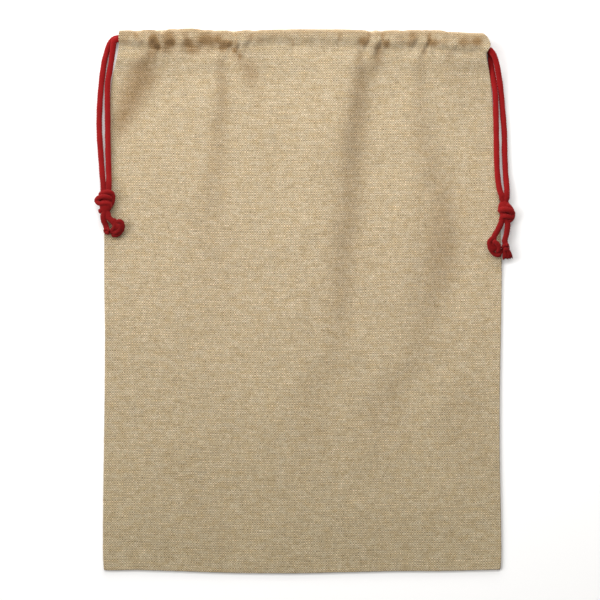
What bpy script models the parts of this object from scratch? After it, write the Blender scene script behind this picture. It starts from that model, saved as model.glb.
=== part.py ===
"""Drawstring sack of coarse plain-woven cloth, lying flat on its back.

The sack is two panels sewn together at the sides and along the bottom. At the
mouth each panel is turned in and stitched down as a casing that is open at both
ends, and one drawcord runs through each casing. On either side of the sack the
two cord ends are tied together in one knot, and each tail ends in a knot of its
own.

Metres, +Z up. +Y points to the mouth and +X to the right of the front panel.
The origin is on the surface that the sack lies on, under the middle of the
cloth. "From mouth" is the distance down the sack from its top edge.
"""

import math
from collections import namedtuple

import bmesh
import bpy
import numpy as np
from mathutils import Vector

# Driving dimensions
SACK_WIDTH = 0.500
SACK_LENGTH = 0.681
CLOTH = 0.0012
CORD_RADIUS = 0.0030
GAP = 0.0003
BOTTOM_BOW = 0.0040

# Casings: the heights are those of the middle of the cloth
CASING_HALF_HEIGHT = 0.0044
CASING_TAPER = 0.0070
CASING_PUFF = 0.0010
MOUTH_GAP = 0.0070
FRONT_CORD_DEPTH = 0.0120
BACK_CORD_DEPTH = 0.0090
CORD_SAG = 0.0002

# What follows from them
TOP_Y = SACK_LENGTH / 2
PINCH = (CLOTH + GAP) / 2
BACK_REST = CLOTH / 2
FRONT_REST = CLOTH + GAP + CLOTH / 2
BACK_CASING_TOP = CLOTH + 2 * CASING_HALF_HEIGHT
MOUTH_RIM = BACK_CASING_TOP + GAP + CLOTH / 2 + CASING_HALF_HEIGHT + PINCH
MOUTH_CROWN = MOUTH_RIM - GAP + MOUTH_GAP

# Mesh fineness
PANEL_ROWS = 17
FRONT_COLUMNS = 41
BACK_COLUMNS = 21
ARC_STEPS = 6
TAPER_STEPS = 3
CORD_STEP = 0.0150
HELD_CORD_STEP = 0.0200
TAIL_STEP = 0.0050
CORD_END_STEP = 0.0010
CURVE_STEPS = 12
EDGE_CROWDING = 0.25
SHARP_ANGLE = math.radians(50)

# The flat outline: half widths left and right of the middle line
Outline = namedtuple("Outline", "from_mouth left right")
OUTLINE = (
    Outline(0.000, 0.2285, 0.2262),
    Outline(0.002, 0.2296, 0.2290),
    Outline(0.008, 0.2304, 0.2343),
    Outline(0.016, 0.2300, 0.2367),
    Outline(0.030, 0.2318, 0.2317),
    Outline(0.044, 0.2350, 0.2342),
    Outline(0.057, 0.2386, 0.2365),
    Outline(0.075, 0.2410, 0.2388),
    Outline(0.150, 0.2445, 0.2445),
    Outline(0.210, 0.2480, 0.2485),
    Outline(0.290, 0.2492, 0.2500),
    Outline(0.520, 0.2498, 0.2497),
    Outline(0.676, 0.2500, 0.2500),
    Outline(0.681, 0.2485, 0.2487),
)

# Cross sections: height of each panel's side rim, of the front panel's crown,
# and how far in from the rim the crown is reached
Section = namedtuple("Section", "from_mouth front_rim back_rim crown shoulder")
SECTIONS = (
    Section(0.000, MOUTH_RIM, BACK_REST, MOUTH_CROWN, 0.120),
    Section(0.031, MOUTH_RIM, BACK_REST, MOUTH_CROWN, 0.120),
    Section(0.056, 0.0068, 0.0048, 0.0212, 0.110),
    Section(0.085, 0.0029, 0.0009, 0.0203, 0.105),
    Section(0.115, FRONT_REST, BACK_REST, 0.0190, 0.100),
    Section(0.180, FRONT_REST, BACK_REST, 0.0165, 0.095),
    Section(0.300, FRONT_REST, BACK_REST, 0.0130, 0.090),
    Section(0.450, FRONT_REST, BACK_REST, 0.0095, 0.080),
    Section(0.600, FRONT_REST, BACK_REST, 0.0060, 0.060),
    Section(0.660, FRONT_REST, BACK_REST, 0.0035, 0.050),
    Section(0.681, FRONT_REST, BACK_REST, FRONT_REST, 0.050),
)
BACK_RIM_WIDTH = 0.035

# Drawn folds of the front panel, each a trough between two soft ridges that
# runs from the mouth towards its foot and fades out there
Fold = namedtuple("Fold", "x_mouth x_middle x_foot start foot half_width depth")
FOLDS = (
    Fold(-0.1850, -0.2130, -0.2330, 0.022, 0.140, 0.0130, 0.0032),
    Fold(-0.1000, -0.1080, -0.1160, 0.022, 0.280, 0.0120, 0.0018),
    Fold(-0.0780, -0.0620, -0.0420, 0.022, 0.120, 0.0120, 0.0014),
    Fold(0.0740, 0.0560, 0.0500, 0.022, 0.520, 0.0140, 0.0036),
    Fold(0.0980, 0.1060, 0.1120, 0.022, 0.090, 0.0110, 0.0016),
    Fold(0.1460, 0.1740, 0.0980, 0.022, 0.560, 0.0160, 0.0028),
)
# A fold grows from a share of its depth over a short run below the stitches,
# and away from the side seams, where the panels need to stay apart
FOLD_ONSET = 0.030
FOLD_ONSET_SHARE = 0.2
FOLD_RISE = 3.0

# Gathers of the front casing: the top edge dips and the cloth is drawn in
Gather = namedtuple("Gather", "x half_width dip")
GATHERS = (
    Gather(-0.1790, 0.009, 0.0022),
    Gather(-0.1370, 0.008, 0.0008),
    Gather(-0.0900, 0.014, 0.0030),
    Gather(-0.0580, 0.007, 0.0022),
    Gather(-0.0130, 0.008, 0.0012),
    Gather(0.0550, 0.009, 0.0014),
    Gather(0.0880, 0.010, 0.0016),
    Gather(0.1240, 0.012, 0.0018),
)
GATHER_SQUEEZE = 1.5

# Height of the mouth's top edge under a straight line, and depth of the
# stitches below it
MouthEdge = namedtuple("MouthEdge", "x drop stitch")
MOUTH_EDGE = (
    MouthEdge(-0.231, 0.0010, 0.0190),
    MouthEdge(-0.190, 0.0000, 0.0205),
    MouthEdge(0.060, 0.0000, 0.0215),
    MouthEdge(0.150, 0.0008, 0.0220),
    MouthEdge(0.190, 0.0034, 0.0230),
    MouthEdge(0.215, 0.0042, 0.0262),
    MouthEdge(0.237, 0.0045, 0.0298),
)
MOUTH_EDGE_REACH = 0.060

# The drawcords inside their casings: where each starts at the left end, and the
# points through which it bends down to the right-hand opening
HELD_CORDS = {
    "front_cord": (-0.2298, ((0.2020, 0.0133), (0.2150, 0.0148), (0.2290, 0.0175), (0.2345, 0.0215))),
    "back_cord": (-0.2302, ((0.2020, 0.0116), (0.2150, 0.0142), (0.2290, 0.0178), (0.2341, 0.0222))),
}

# Routes of the free strands, from the casing's end to the knot. A front
# strand leaves the front casing and a back strand the back casing
LEFT_FRONT_ROUTE = (
    (-0.2302, 0.3276, 0.0151),
    (-0.2335, 0.3276, 0.0151),
    (-0.2362, 0.3254, 0.0147),
    (-0.2375, 0.3200, 0.0137),
    (-0.2383, 0.3130, 0.0121),
    (-0.2401, 0.3010, 0.0099),
    (-0.2422, 0.2880, 0.0080),
    (-0.2447, 0.2740, 0.0067),
    (-0.2452, 0.2522, 0.0064),
    (-0.2448, 0.2300, 0.0065),
    (-0.2447, 0.2050, 0.0064),
    (-0.2441, 0.1800, 0.0064),
    (-0.2434, 0.1577, 0.0069),
    (-0.2433, 0.1450, 0.0090),
)
LEFT_BACK_ROUTE = (
    (-0.2306, 0.3306, 0.0048),
    (-0.2335, 0.3304, 0.0048),
    (-0.2378, 0.3288, 0.0046),
    (-0.2418, 0.3240, 0.0041),
    (-0.2452, 0.3160, 0.0037),
    (-0.2478, 0.3065, 0.0035),
    (-0.2502, 0.2950, 0.0034),
    (-0.2535, 0.2680, 0.0034),
    (-0.2553, 0.2400, 0.0034),
    (-0.2556, 0.2144, 0.0034),
    (-0.2536, 0.1829, 0.0035),
    (-0.2518, 0.1600, 0.0056),
    (-0.2503, 0.1450, 0.0088),
)
RIGHT_FRONT_ROUTE = (
    (0.2349, 0.3156, 0.0151),
    (0.2372, 0.3136, 0.0150),
    (0.2405, 0.3095, 0.0143),
    (0.2434, 0.3030, 0.0127),
    (0.2460, 0.2930, 0.0102),
    (0.2485, 0.2790, 0.0070),
    (0.2509, 0.2620, 0.0045),
    (0.2529, 0.2400, 0.0035),
    (0.2551, 0.2100, 0.0034),
    (0.2555, 0.1850, 0.0034),
    (0.2566, 0.1600, 0.0042),
    (0.2580, 0.1420, 0.0066),
)
RIGHT_BACK_ROUTE = (
    (0.2345, 0.3149, 0.0048),
    (0.2360, 0.3135, 0.0048),
    (0.2372, 0.3105, 0.0047),
    (0.2375, 0.3050, 0.0046),
    (0.2382, 0.2970, 0.0045),
    (0.2397, 0.2880, 0.0045),
    (0.2412, 0.2780, 0.0048),
    (0.2431, 0.2650, 0.0058),
    (0.2440, 0.2520, 0.0064),
    (0.2446, 0.2250, 0.0064),
    (0.2450, 0.1980, 0.0064),
    (0.2454, 0.1750, 0.0064),
    (0.2465, 0.1560, 0.0068),
    (0.2486, 0.1410, 0.0074),
)

# What the tails pass through between the knots at their two ends
LEFT_LONG_TAIL = ()
LEFT_SHORT_TAIL = ((-0.2492, 0.0990, 0.0092),)
RIGHT_LONG_TAIL = ((0.2492, 0.0935, 0.0084),)
RIGHT_SHORT_TAIL = ((0.2590, 0.0950, 0.0080), (0.2576, 0.0840, 0.0083))

# Knots: "along" points from the strands to the tails, swing moves the middle
# sideways, and mouth is the share of the full width that the end faces have
Knot = namedtuple("Knot", "centre along half_long half_wide half_thick swing mouth")
KNOTS = {
    "left_knot": Knot((-0.2470, 0.1197, 0.0105), (0.0, -1.0), 0.0132, 0.0112, 0.0074, -0.0012, 0.60),
    "right_knot": Knot((0.2548, 0.1157, 0.0077), (0.0, -1.0), 0.0136, 0.0100, 0.0072, 0.0036, 0.64),
    "left_long_end_knot": Knot((-0.2316, 0.0912, 0.0114), (0.64, -0.77), 0.0086, 0.0088, 0.0074, 0.0, 0.52),
    "left_short_end_knot": Knot((-0.2455, 0.0875, 0.0081), (0.24, -0.97), 0.0058, 0.0048, 0.0048, 0.0, 0.66),
    "right_long_end_knot": Knot((0.2398, 0.0685, 0.0106), (-0.18, -0.98), 0.0098, 0.0084, 0.0068, 0.0, 0.56),
    "right_short_end_knot": Knot((0.2563, 0.0671, 0.0084), (0.12, -0.99), 0.0062, 0.0056, 0.0056, 0.0, 0.60),
}
KNOT_RINGS = 9
KNOT_SIDES = 12
KNOT_GROOVE = 0.07
KNOT_TURNS = 1.6
STRAND_OFFSET = 0.0032
KNOT_LEAD = 0.0010

# The cut end beyond the right short end knot, opened out like a brush
FRAYED_LENGTH = 0.0090
FRAYED_RADII = (0.0026, 0.0034, 0.0046)
FRAYED_SIDES = 8

CLOTH_COLOUR = (0.560, 0.430, 0.270)
CORD_COLOUR = (0.330, 0.013, 0.015)
CLOTH_ROUGHNESS = 0.92
CORD_ROUGHNESS = 0.80


def clear_objects():
    """Remove whatever objects the open file holds."""
    for item in list(bpy.data.objects):
        bpy.data.objects.remove(item, do_unlink=True)


def make_material(name, colour, roughness):
    """A plain matt surface in one colour."""
    material = bpy.data.materials.new(name)
    material.use_nodes = True
    shader = material.node_tree.nodes["Principled BSDF"]
    shader.inputs["Base Color"].default_value = (*colour, 1.0)
    shader.inputs["Roughness"].default_value = roughness
    shader.inputs["Metallic"].default_value = 0.0
    return material


def read(table, column, at):
    """A column's value at a place, smooth and without overshoot between rows."""
    places = np.array([row[0] for row in table])
    values = np.array([getattr(row, column) for row in table])
    steps = np.diff(places)
    slopes = np.diff(values) / steps
    tangents = np.zeros_like(values)
    for i in range(1, len(values) - 1):
        if slopes[i - 1] * slopes[i] > 0:
            tangents[i] = 2 * slopes[i - 1] * slopes[i] / (slopes[i - 1] + slopes[i])
    at = np.clip(at, places[0], places[-1])
    index = np.clip(np.searchsorted(places, at) - 1, 0, len(steps) - 1)
    step = steps[index]
    t = (at - places[index]) / step
    start_share = (1 + 2 * t) * (1 - t) ** 2
    start_slope = t * (1 - t) ** 2
    end_slope = t ** 2 * (t - 1)
    along = start_share * values[index] + (1 - start_share) * values[index + 1]
    return along + step * (start_slope * tangents[index] + end_slope * tangents[index + 1])


def smooth(t):
    """Ease from 0 to 1, level at both ends."""
    t = np.clip(t, 0.0, 1.0)
    return t * t * (3 - 2 * t)


def side_distance(x, from_mouth):
    """Distance in from the nearer side edge."""
    to_left = x + read(OUTLINE, "left", from_mouth)
    to_right = read(OUTLINE, "right", from_mouth) - x
    return np.minimum(to_left, to_right)


def fold_relief(x, from_mouth):
    """Height that the drawn folds add to the front panel."""
    relief = np.zeros_like(x)
    for fold in FOLDS:
        t = (from_mouth - fold.start) / (fold.foot - fold.start)
        run = np.clip(t, 0.0, 1.0)
        bend = 2 * fold.x_middle - (fold.x_mouth + fold.x_foot) / 2
        centre = fold.x_mouth * (1 - run) ** 2 + 2 * bend * run * (1 - run) + fold.x_foot * run ** 2
        across = (x - centre) / fold.half_width
        strength = (1 - smooth(run)) * smooth((from_mouth - fold.start) / FOLD_ONSET + FOLD_ONSET_SHARE)
        relief -= fold.depth * strength * (1 - across ** 2) * np.exp(-across ** 2 / 2)
    return relief


def front_height(x, from_mouth):
    """Height of the middle of the front panel's cloth."""
    rim = read(SECTIONS, "front_rim", from_mouth)
    crown = read(SECTIONS, "crown", from_mouth)
    rise = smooth(side_distance(x, from_mouth) / read(SECTIONS, "shoulder", from_mouth))
    bottom_fade = smooth((SACK_LENGTH - from_mouth) / SECTIONS[-1].shoulder)
    folds = fold_relief(x, from_mouth) * np.minimum(1.0, FOLD_RISE * rise) * bottom_fade
    return rim + (crown - rim) * rise + folds


def back_height(x, from_mouth):
    """Height of the middle of the back panel's cloth, which lifts at its rims."""
    rim = read(SECTIONS, "back_rim", from_mouth)
    rise = smooth(side_distance(x, from_mouth) / BACK_RIM_WIDTH)
    return rim + (BACK_REST - rim) * rise


def gather_share(x):
    """How much the front casing is drawn in at a place, from 0 to 1, and its dip."""
    share = np.zeros_like(x)
    dip = np.zeros_like(x)
    for gather in GATHERS:
        bump = np.exp(-((x - gather.x) / gather.half_width) ** 2)
        share = np.maximum(share, bump)
        dip += gather.dip * bump
    return share, dip


def place_y(x, from_mouth, dip):
    """Y of a point of the cloth, with the drooping mouth and the bowed bottom."""
    drop = (read(MOUTH_EDGE, "drop", x) + dip) * (1 - smooth(from_mouth / MOUTH_EDGE_REACH))
    bow = BOTTOM_BOW * (2 * x / SACK_WIDTH) ** 2 * smooth(from_mouth / SACK_LENGTH)
    return TOP_Y - from_mouth - drop + bow


def casing_profile(stitch, puff, outer):
    """The casing's section as (from mouth, half height, side) steps, in order.

    It runs from the stitches along the outer layer to the top edge, round it,
    and back along the turned-in layer. outer is 1 or -1, the side of the outer
    layer.
    """
    outer_half = CASING_HALF_HEIGHT + puff
    steps = []
    for i in range(1, TAPER_STEPS + 1):
        t = i / TAPER_STEPS
        half = PINCH + (outer_half - PINCH) * smooth(t)
        steps.append((stitch - CASING_TAPER * t, half, outer))
    centre = CLOTH / 2 + CASING_HALF_HEIGHT
    for i in range(ARC_STEPS + 1):
        angle = math.pi * (0.5 - i / ARC_STEPS)
        half = np.where(angle > 0, outer_half, CASING_HALF_HEIGHT)
        place = centre - CASING_HALF_HEIGHT * math.cos(angle)
        steps.append((place + 0 * stitch, half, outer * math.sin(angle)))
    for i in range(TAPER_STEPS, -1, -1):
        t = i / TAPER_STEPS
        half = PINCH + (CASING_HALF_HEIGHT - PINCH) * smooth(t)
        steps.append((stitch - CASING_TAPER * t, half, -outer))
    return steps


def panel_grid(columns, height, outer):
    """Rows of points along the middle of a panel's cloth, bottom edge first."""
    even = np.linspace(0.0, 1.0, columns)
    crowded = (1 - np.cos(math.pi * even)) / 2
    across = even + EDGE_CROWDING * (crowded - even)

    def x_at(from_mouth):
        left = read(OUTLINE, "left", from_mouth)
        return across * (left + read(OUTLINE, "right", from_mouth)) - left

    def row(from_mouth, z, dip):
        x = x_at(from_mouth)
        return np.stack([x, place_y(x, from_mouth, dip), z + 0 * x], axis=-1)

    is_front = outer > 0
    stitch = read(MOUTH_EDGE, "stitch", x_at(CASING_TAPER))
    share, dip = gather_share(x_at(CASING_TAPER))
    share = share * is_front
    dip = dip * is_front
    puff = CASING_PUFF * (1 - GATHER_SQUEEZE * share) * is_front
    grid = []
    for i in range(PANEL_ROWS):
        down = (1 + math.cos(math.pi * i / (PANEL_ROWS - 1))) / 2
        from_mouth = stitch + (SACK_LENGTH - stitch) * down
        grid.append(row(from_mouth, height(x_at(from_mouth), from_mouth), dip))
    at_stitches = height(x_at(stitch), stitch)
    for from_mouth, half, side in casing_profile(stitch, puff, outer):
        middle = at_stitches - PINCH if is_front else BACK_REST + half
        grid.append(row(from_mouth, middle + side * half, dip))
    lip = stitch + (SACK_LENGTH - stitch) * (1 - math.cos(math.pi / (PANEL_ROWS - 1))) / 2
    grid.append(row(lip, height(x_at(lip), lip) - 2 * outer * PINCH, dip))
    return np.array(grid)


def sheet_object(name, grid, outer, material):
    """A closed sheet of the cloth's thickness around a grid of middle points."""
    down_rows = np.gradient(grid, axis=0)
    along_columns = np.gradient(grid, axis=1)
    normals = np.cross(along_columns, down_rows) * outer
    normals /= np.linalg.norm(normals, axis=2, keepdims=True)
    rows, columns = grid.shape[:2]
    mesh = bmesh.new()
    faces_of = {}
    for side in (1, -1):
        points = grid + side * outer * normals * CLOTH / 2
        faces_of[side] = [[mesh.verts.new(p) for p in line] for line in points]
    outside = faces_of[1]
    inside = faces_of[-1]
    for i in range(rows - 1):
        for j in range(columns - 1):
            for layer, turn in ((outside, 1), (inside, -1)):
                corners = [layer[i][j], layer[i][j + 1], layer[i + 1][j + 1], layer[i + 1][j]]
                mesh.faces.new(corners[::turn])
    for i in range(rows - 1):
        mesh.faces.new([inside[i][0], outside[i][0], outside[i + 1][0], inside[i + 1][0]])
        mesh.faces.new([outside[i][-1], inside[i][-1], inside[i + 1][-1], outside[i + 1][-1]])
    for j in range(columns - 1):
        mesh.faces.new([outside[0][j], inside[0][j], inside[0][j + 1], outside[0][j + 1]])
        mesh.faces.new([inside[-1][j], outside[-1][j], outside[-1][j + 1], inside[-1][j + 1]])
    bmesh.ops.recalc_face_normals(mesh, faces=mesh.faces)
    return finish_mesh(name, mesh, material)


def finish_mesh(name, mesh, material):
    """Turn a bmesh into a named object, shaded smooth."""
    data = bpy.data.meshes.new(name)
    mesh.to_mesh(data)
    mesh.free()
    data.shade_smooth()
    data.set_sharp_from_angle(angle=SHARP_ANGLE)
    data.materials.append(material)
    item = bpy.data.objects.new(name, data)
    bpy.context.collection.objects.link(item)
    return item


def smooth_route(points, step):
    """Points a step apart on one smooth curve through the given points."""
    knots = [Vector(p) for p in points]
    before = 2 * knots[0] - knots[1]
    after = 2 * knots[-1] - knots[-2]
    knots = [before, *knots, after]
    dense = []
    for i in range(1, len(knots) - 2):
        for j in range(CURVE_STEPS):
            t = j / CURVE_STEPS
            a, b, c, d = knots[i - 1:i + 3]
            bend = (2 * a - 5 * b + 4 * c - d) * t * t + (3 * b - a - 3 * c + d) * t ** 3
            dense.append(0.5 * (2 * b + (c - a) * t + bend))
    dense.append(knots[-2])
    lengths = [0.0]
    for i in range(1, len(dense)):
        lengths.append(lengths[-1] + (dense[i] - dense[i - 1]).length)
    last = lengths[-1] - CORD_END_STEP
    inner = np.linspace(CORD_END_STEP, last, max(3, round(last / step)))
    wanted = [0.0, *inner, lengths[-1]]
    columns = [np.interp(wanted, lengths, [p[axis] for p in dense]) for axis in range(3)]
    return list(zip(*columns))


def cord_object(name, route, material):
    """A plain tube of the cord's diameter along a route."""
    curve = bpy.data.curves.new(name, "CURVE")
    curve.dimensions = "3D"
    curve.bevel_depth = CORD_RADIUS
    curve.bevel_resolution = 2
    curve.use_fill_caps = True
    spline = curve.splines.new("POLY")
    spline.points.add(len(route) - 1)
    for point, place in zip(spline.points, route):
        point.co = (*place, 1.0)
    curve.materials.append(material)
    item = bpy.data.objects.new(name, curve)
    bpy.context.collection.objects.link(item)
    return item


def held_route(depth, middle_height, left_end, right_points):
    """The drawcord's run inside a casing, bent down to the right-hand opening."""
    straight_end = right_points[0][0] - HELD_CORD_STEP / 2
    places = [(x, depth) for x in np.arange(left_end, straight_end, HELD_CORD_STEP)]
    route = []
    for x, from_mouth in (*places, *right_points):
        route.append((x, float(place_y(x, from_mouth, 0.0)), middle_height(x)))
    return smooth_route(route, HELD_CORD_STEP)


def front_cord_height(x):
    """Height of the front drawcord's middle in its casing."""
    x = np.array(float(x))
    stitch = read(MOUTH_EDGE, "stitch", x)
    return float(front_height(x, stitch)) - PINCH - CORD_SAG


def back_cord_height(x):
    """Height of the back drawcord's middle in its casing."""
    return BACK_REST + CASING_HALF_HEIGHT - CORD_SAG


def knot_axes(knot):
    """Unit directions of a knot: along it, sideways and up."""
    along = Vector((*knot.along, 0.0)).normalized()
    up = Vector((0.0, 0.0, 1.0))
    return along, up.cross(along), up


def knot_lead(knot, end, offset):
    """The last points of a cord that meets a knot's face squarely, nearest last.

    end is -1 on the strands' face and 1 on the tails' face.
    """
    along, sideways, _ = knot_axes(knot)
    face = Vector(knot.centre) + along * end * knot.half_long + sideways * offset
    return [tuple(face + along * end * (GAP + i * KNOT_LEAD)) for i in (2, 1, 0)]


def ring_tube(name, rings, material):
    """A closed solid through rings of points, with flat end faces."""
    mesh = bmesh.new()
    lines = [[mesh.verts.new(p) for p in ring] for ring in rings]
    for line, following in zip(lines, lines[1:]):
        for j in range(len(line)):
            k = (j + 1) % len(line)
            mesh.faces.new([line[j], line[k], following[k], following[j]])
    mesh.faces.new(lines[0][::-1])
    mesh.faces.new(lines[-1])
    bmesh.ops.recalc_face_normals(mesh, faces=mesh.faces)
    return finish_mesh(name, mesh, material)


def knot_object(name, knot, material):
    """A pulled-tight knot: a barrel with flat ends and two winding grooves."""
    along, sideways, up = knot_axes(knot)
    rings = []
    for i in range(KNOT_RINGS):
        t = 2 * i / (KNOT_RINGS - 1) - 1
        middle_share = 1 - t * t
        swell = knot.mouth + (1 - knot.mouth) * math.sqrt(max(0.0, middle_share))
        middle = Vector(knot.centre) + along * knot.half_long * t
        middle += sideways * knot.swing * middle_share
        ring = []
        for j in range(KNOT_SIDES):
            angle = 2 * math.pi * j / KNOT_SIDES
            groove = KNOT_GROOVE * middle_share * math.cos(2 * angle - KNOT_TURNS * math.pi * t)
            size = swell * (1 - KNOT_GROOVE * middle_share + groove)
            offset = sideways * knot.half_wide * math.cos(angle) + up * knot.half_thick * math.sin(angle)
            ring.append(middle + offset * size)
        rings.append(ring)
    return ring_tube(name, rings, material)


def frayed_object(name, knot, material):
    """The opened-out cut end of a cord, beyond its end knot."""
    along, sideways, up = knot_axes(knot)
    start = Vector(knot.centre) + along * (knot.half_long + GAP)
    rings = []
    for i, radius in enumerate(FRAYED_RADII):
        middle = start + along * FRAYED_LENGTH * i / (len(FRAYED_RADII) - 1)
        ring = []
        for j in range(FRAYED_SIDES):
            angle = 2 * math.pi * j / FRAYED_SIDES
            ring.append(middle + (sideways * math.cos(angle) + up * math.sin(angle)) * radius)
        rings.append(ring)
    return ring_tube(name, rings, material)


def build():
    """Make every sub-part of the sack."""
    clear_objects()
    front_cloth = make_material("front_cloth", CLOTH_COLOUR, CLOTH_ROUGHNESS)
    back_cloth = make_material("back_cloth", CLOTH_COLOUR, CLOTH_ROUGHNESS)
    front = panel_grid(FRONT_COLUMNS, front_height, 1)
    sheet_object("front_panel", front, 1, front_cloth)
    back = panel_grid(BACK_COLUMNS, back_height, -1)
    sheet_object("back_panel", back, -1, back_cloth)

    held = (
        ("front_cord", FRONT_CORD_DEPTH, front_cord_height),
        ("back_cord", BACK_CORD_DEPTH, back_cord_height),
    )
    for name, depth, height in held:
        left_end, right_points = HELD_CORDS[name]
        material = make_material(name + "_red", CORD_COLOUR, CORD_ROUGHNESS)
        cord_object(name, held_route(depth, height, left_end, right_points), material)

    strands = (
        ("left_front_strand", LEFT_FRONT_ROUTE, "left_knot", STRAND_OFFSET),
        ("left_back_strand", LEFT_BACK_ROUTE, "left_knot", -STRAND_OFFSET),
        ("right_front_strand", RIGHT_FRONT_ROUTE, "right_knot", STRAND_OFFSET),
        ("right_back_strand", RIGHT_BACK_ROUTE, "right_knot", -STRAND_OFFSET),
    )
    for name, points, knot, offset in strands:
        route = [*points, *knot_lead(KNOTS[knot], -1, offset)]
        material = make_material(name + "_red", CORD_COLOUR, CORD_ROUGHNESS)
        cord_object(name, smooth_route(route, CORD_STEP), material)

    tails = (
        ("left_long", LEFT_LONG_TAIL, "left_knot", STRAND_OFFSET),
        ("left_short", LEFT_SHORT_TAIL, "left_knot", -STRAND_OFFSET),
        ("right_long", RIGHT_LONG_TAIL, "right_knot", -STRAND_OFFSET),
        ("right_short", RIGHT_SHORT_TAIL, "right_knot", STRAND_OFFSET),
    )
    for name, points, knot, offset in tails:
        leaving = knot_lead(KNOTS[knot], 1, offset)[::-1]
        arriving = knot_lead(KNOTS[name + "_end_knot"], -1, 0.0)
        material = make_material(name + "_tail_red", CORD_COLOUR, CORD_ROUGHNESS)
        cord_object(name + "_tail", smooth_route([*leaving, *points, *arriving], TAIL_STEP), material)

    for name, knot in KNOTS.items():
        knot_object(name, knot, make_material(name + "_red", CORD_COLOUR, CORD_ROUGHNESS))
    frayed_red = make_material("frayed_red", CORD_COLOUR, CORD_ROUGHNESS)
    frayed_object("right_frayed_end", KNOTS["right_short_end_knot"], frayed_red)


build()
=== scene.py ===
import math
import random
from collections import namedtuple

import bpy
import numpy as np
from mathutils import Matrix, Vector


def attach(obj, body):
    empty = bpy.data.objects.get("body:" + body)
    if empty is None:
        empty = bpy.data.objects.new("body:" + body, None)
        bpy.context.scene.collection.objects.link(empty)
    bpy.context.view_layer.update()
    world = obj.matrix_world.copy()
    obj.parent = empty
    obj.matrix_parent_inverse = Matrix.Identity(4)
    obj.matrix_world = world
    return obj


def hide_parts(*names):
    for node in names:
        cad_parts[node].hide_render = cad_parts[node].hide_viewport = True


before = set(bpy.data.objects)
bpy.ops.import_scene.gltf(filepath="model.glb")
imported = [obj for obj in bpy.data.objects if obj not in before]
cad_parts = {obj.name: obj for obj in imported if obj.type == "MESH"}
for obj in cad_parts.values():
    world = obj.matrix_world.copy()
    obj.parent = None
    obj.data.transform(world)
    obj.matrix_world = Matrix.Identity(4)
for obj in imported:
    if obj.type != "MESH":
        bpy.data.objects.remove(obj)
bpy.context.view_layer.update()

# ---------------------------------------------------------------- sizes
# Metres, in the frame of the part: +Y to the mouth, +X to the right of the
# front panel, +Z up. "From mouth" is the distance down from the top edge.
SACK_WIDTH = 0.500
SACK_LENGTH = 0.681
CLOTH = 0.0012
GAP = 0.0003
BOTTOM_BOW = 0.0040
TOP_Y = SACK_LENGTH / 2
PINCH = (CLOTH + GAP) / 2
BACK_REST = CLOTH / 2
FRONT_REST = CLOTH + GAP + CLOTH / 2
CASING_HALF_HEIGHT = 0.0044
CASING_TAPER = 0.0070
CASING_PUFF = 0.0016
BACK_CASING_TOP = CLOTH + 2 * CASING_HALF_HEIGHT
MOUTH_RIM = BACK_CASING_TOP + GAP + CLOTH / 2 + CASING_HALF_HEIGHT + PINCH
MOUTH_GAP = 0.0070
MOUTH_CROWN = MOUTH_RIM - GAP + MOUTH_GAP
MOUTH_EDGE_REACH = 0.060
BACK_RIM_WIDTH = 0.035
SLOPE_WIDTH = 0.235

# The distance in which the casing's outer layer rises from the stitches, what
# the middle of the mouth adds to it, and what the right-hand opening takes off
CASING_SLOPE = 0.0105
EASY_SLOPE = 0.0055
EASY_MIDDLE = 0.010
EASY_REACH = 0.095
EASY_FADE = 0.040
STEEP_SLOPE = 0.0040
STEEP_STITCH = 0.0280

CORD_RADIUS = 0.0033
CORD_FULLNESS = 1.10
CORD_FLATNESS = 0.86
CORD_LAY = 0.0105
STRAND_OFFSET = 0.0032
KNOT_LEAD = 0.0010
KNOT_SAG = 0.0010
THREAD_PITCH = 0.00155

# The view: metres per pixel, and the pixel at the middle of the frame
PIXEL = 0.0012594
PIXEL_X = 302.0
PIXEL_Y = 300.25


def at_pixel(px, py, z_mm):
    """The place in metres of a point that was read off in pixels of the view."""
    return ((px - PIXEL_X) * PIXEL, (PIXEL_Y - py) * PIXEL, z_mm / 1000)


def table(columns, *rows):
    """Rows of values with named columns."""
    row = namedtuple("Row", columns)
    return [row(*values) for values in rows]


# ---------------------------------------------------------------- tables
# The side edges, left and right of the middle line
OUTLINE = table(
    "from_mouth left right",
    (0.0, 0.2285, 0.2262),
    (0.002, 0.2296, 0.229),
    (0.008, 0.2304, 0.2343),
    (0.016, 0.23, 0.2367),
    (0.03, 0.2318, 0.2317),
    (0.044, 0.235, 0.2342),
    (0.057, 0.2386, 0.2365),
    (0.075, 0.241, 0.2388),
    (0.15, 0.2445, 0.2445),
    (0.21, 0.248, 0.2488),
    (0.265, 0.2493, 0.2508),
    (0.302, 0.2493, 0.2517),
    (0.34, 0.249, 0.2513),
    (0.378, 0.2483, 0.2507),
    (0.45, 0.2487, 0.2494),
    (0.52, 0.2496, 0.2491),
    (0.6, 0.2507, 0.2504),
    (0.65, 0.251, 0.2511),
    (0.675, 0.2507, 0.2511),
    (0.679, 0.2496, 0.25),
    (0.681, 0.2474, 0.2478),
)
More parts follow.
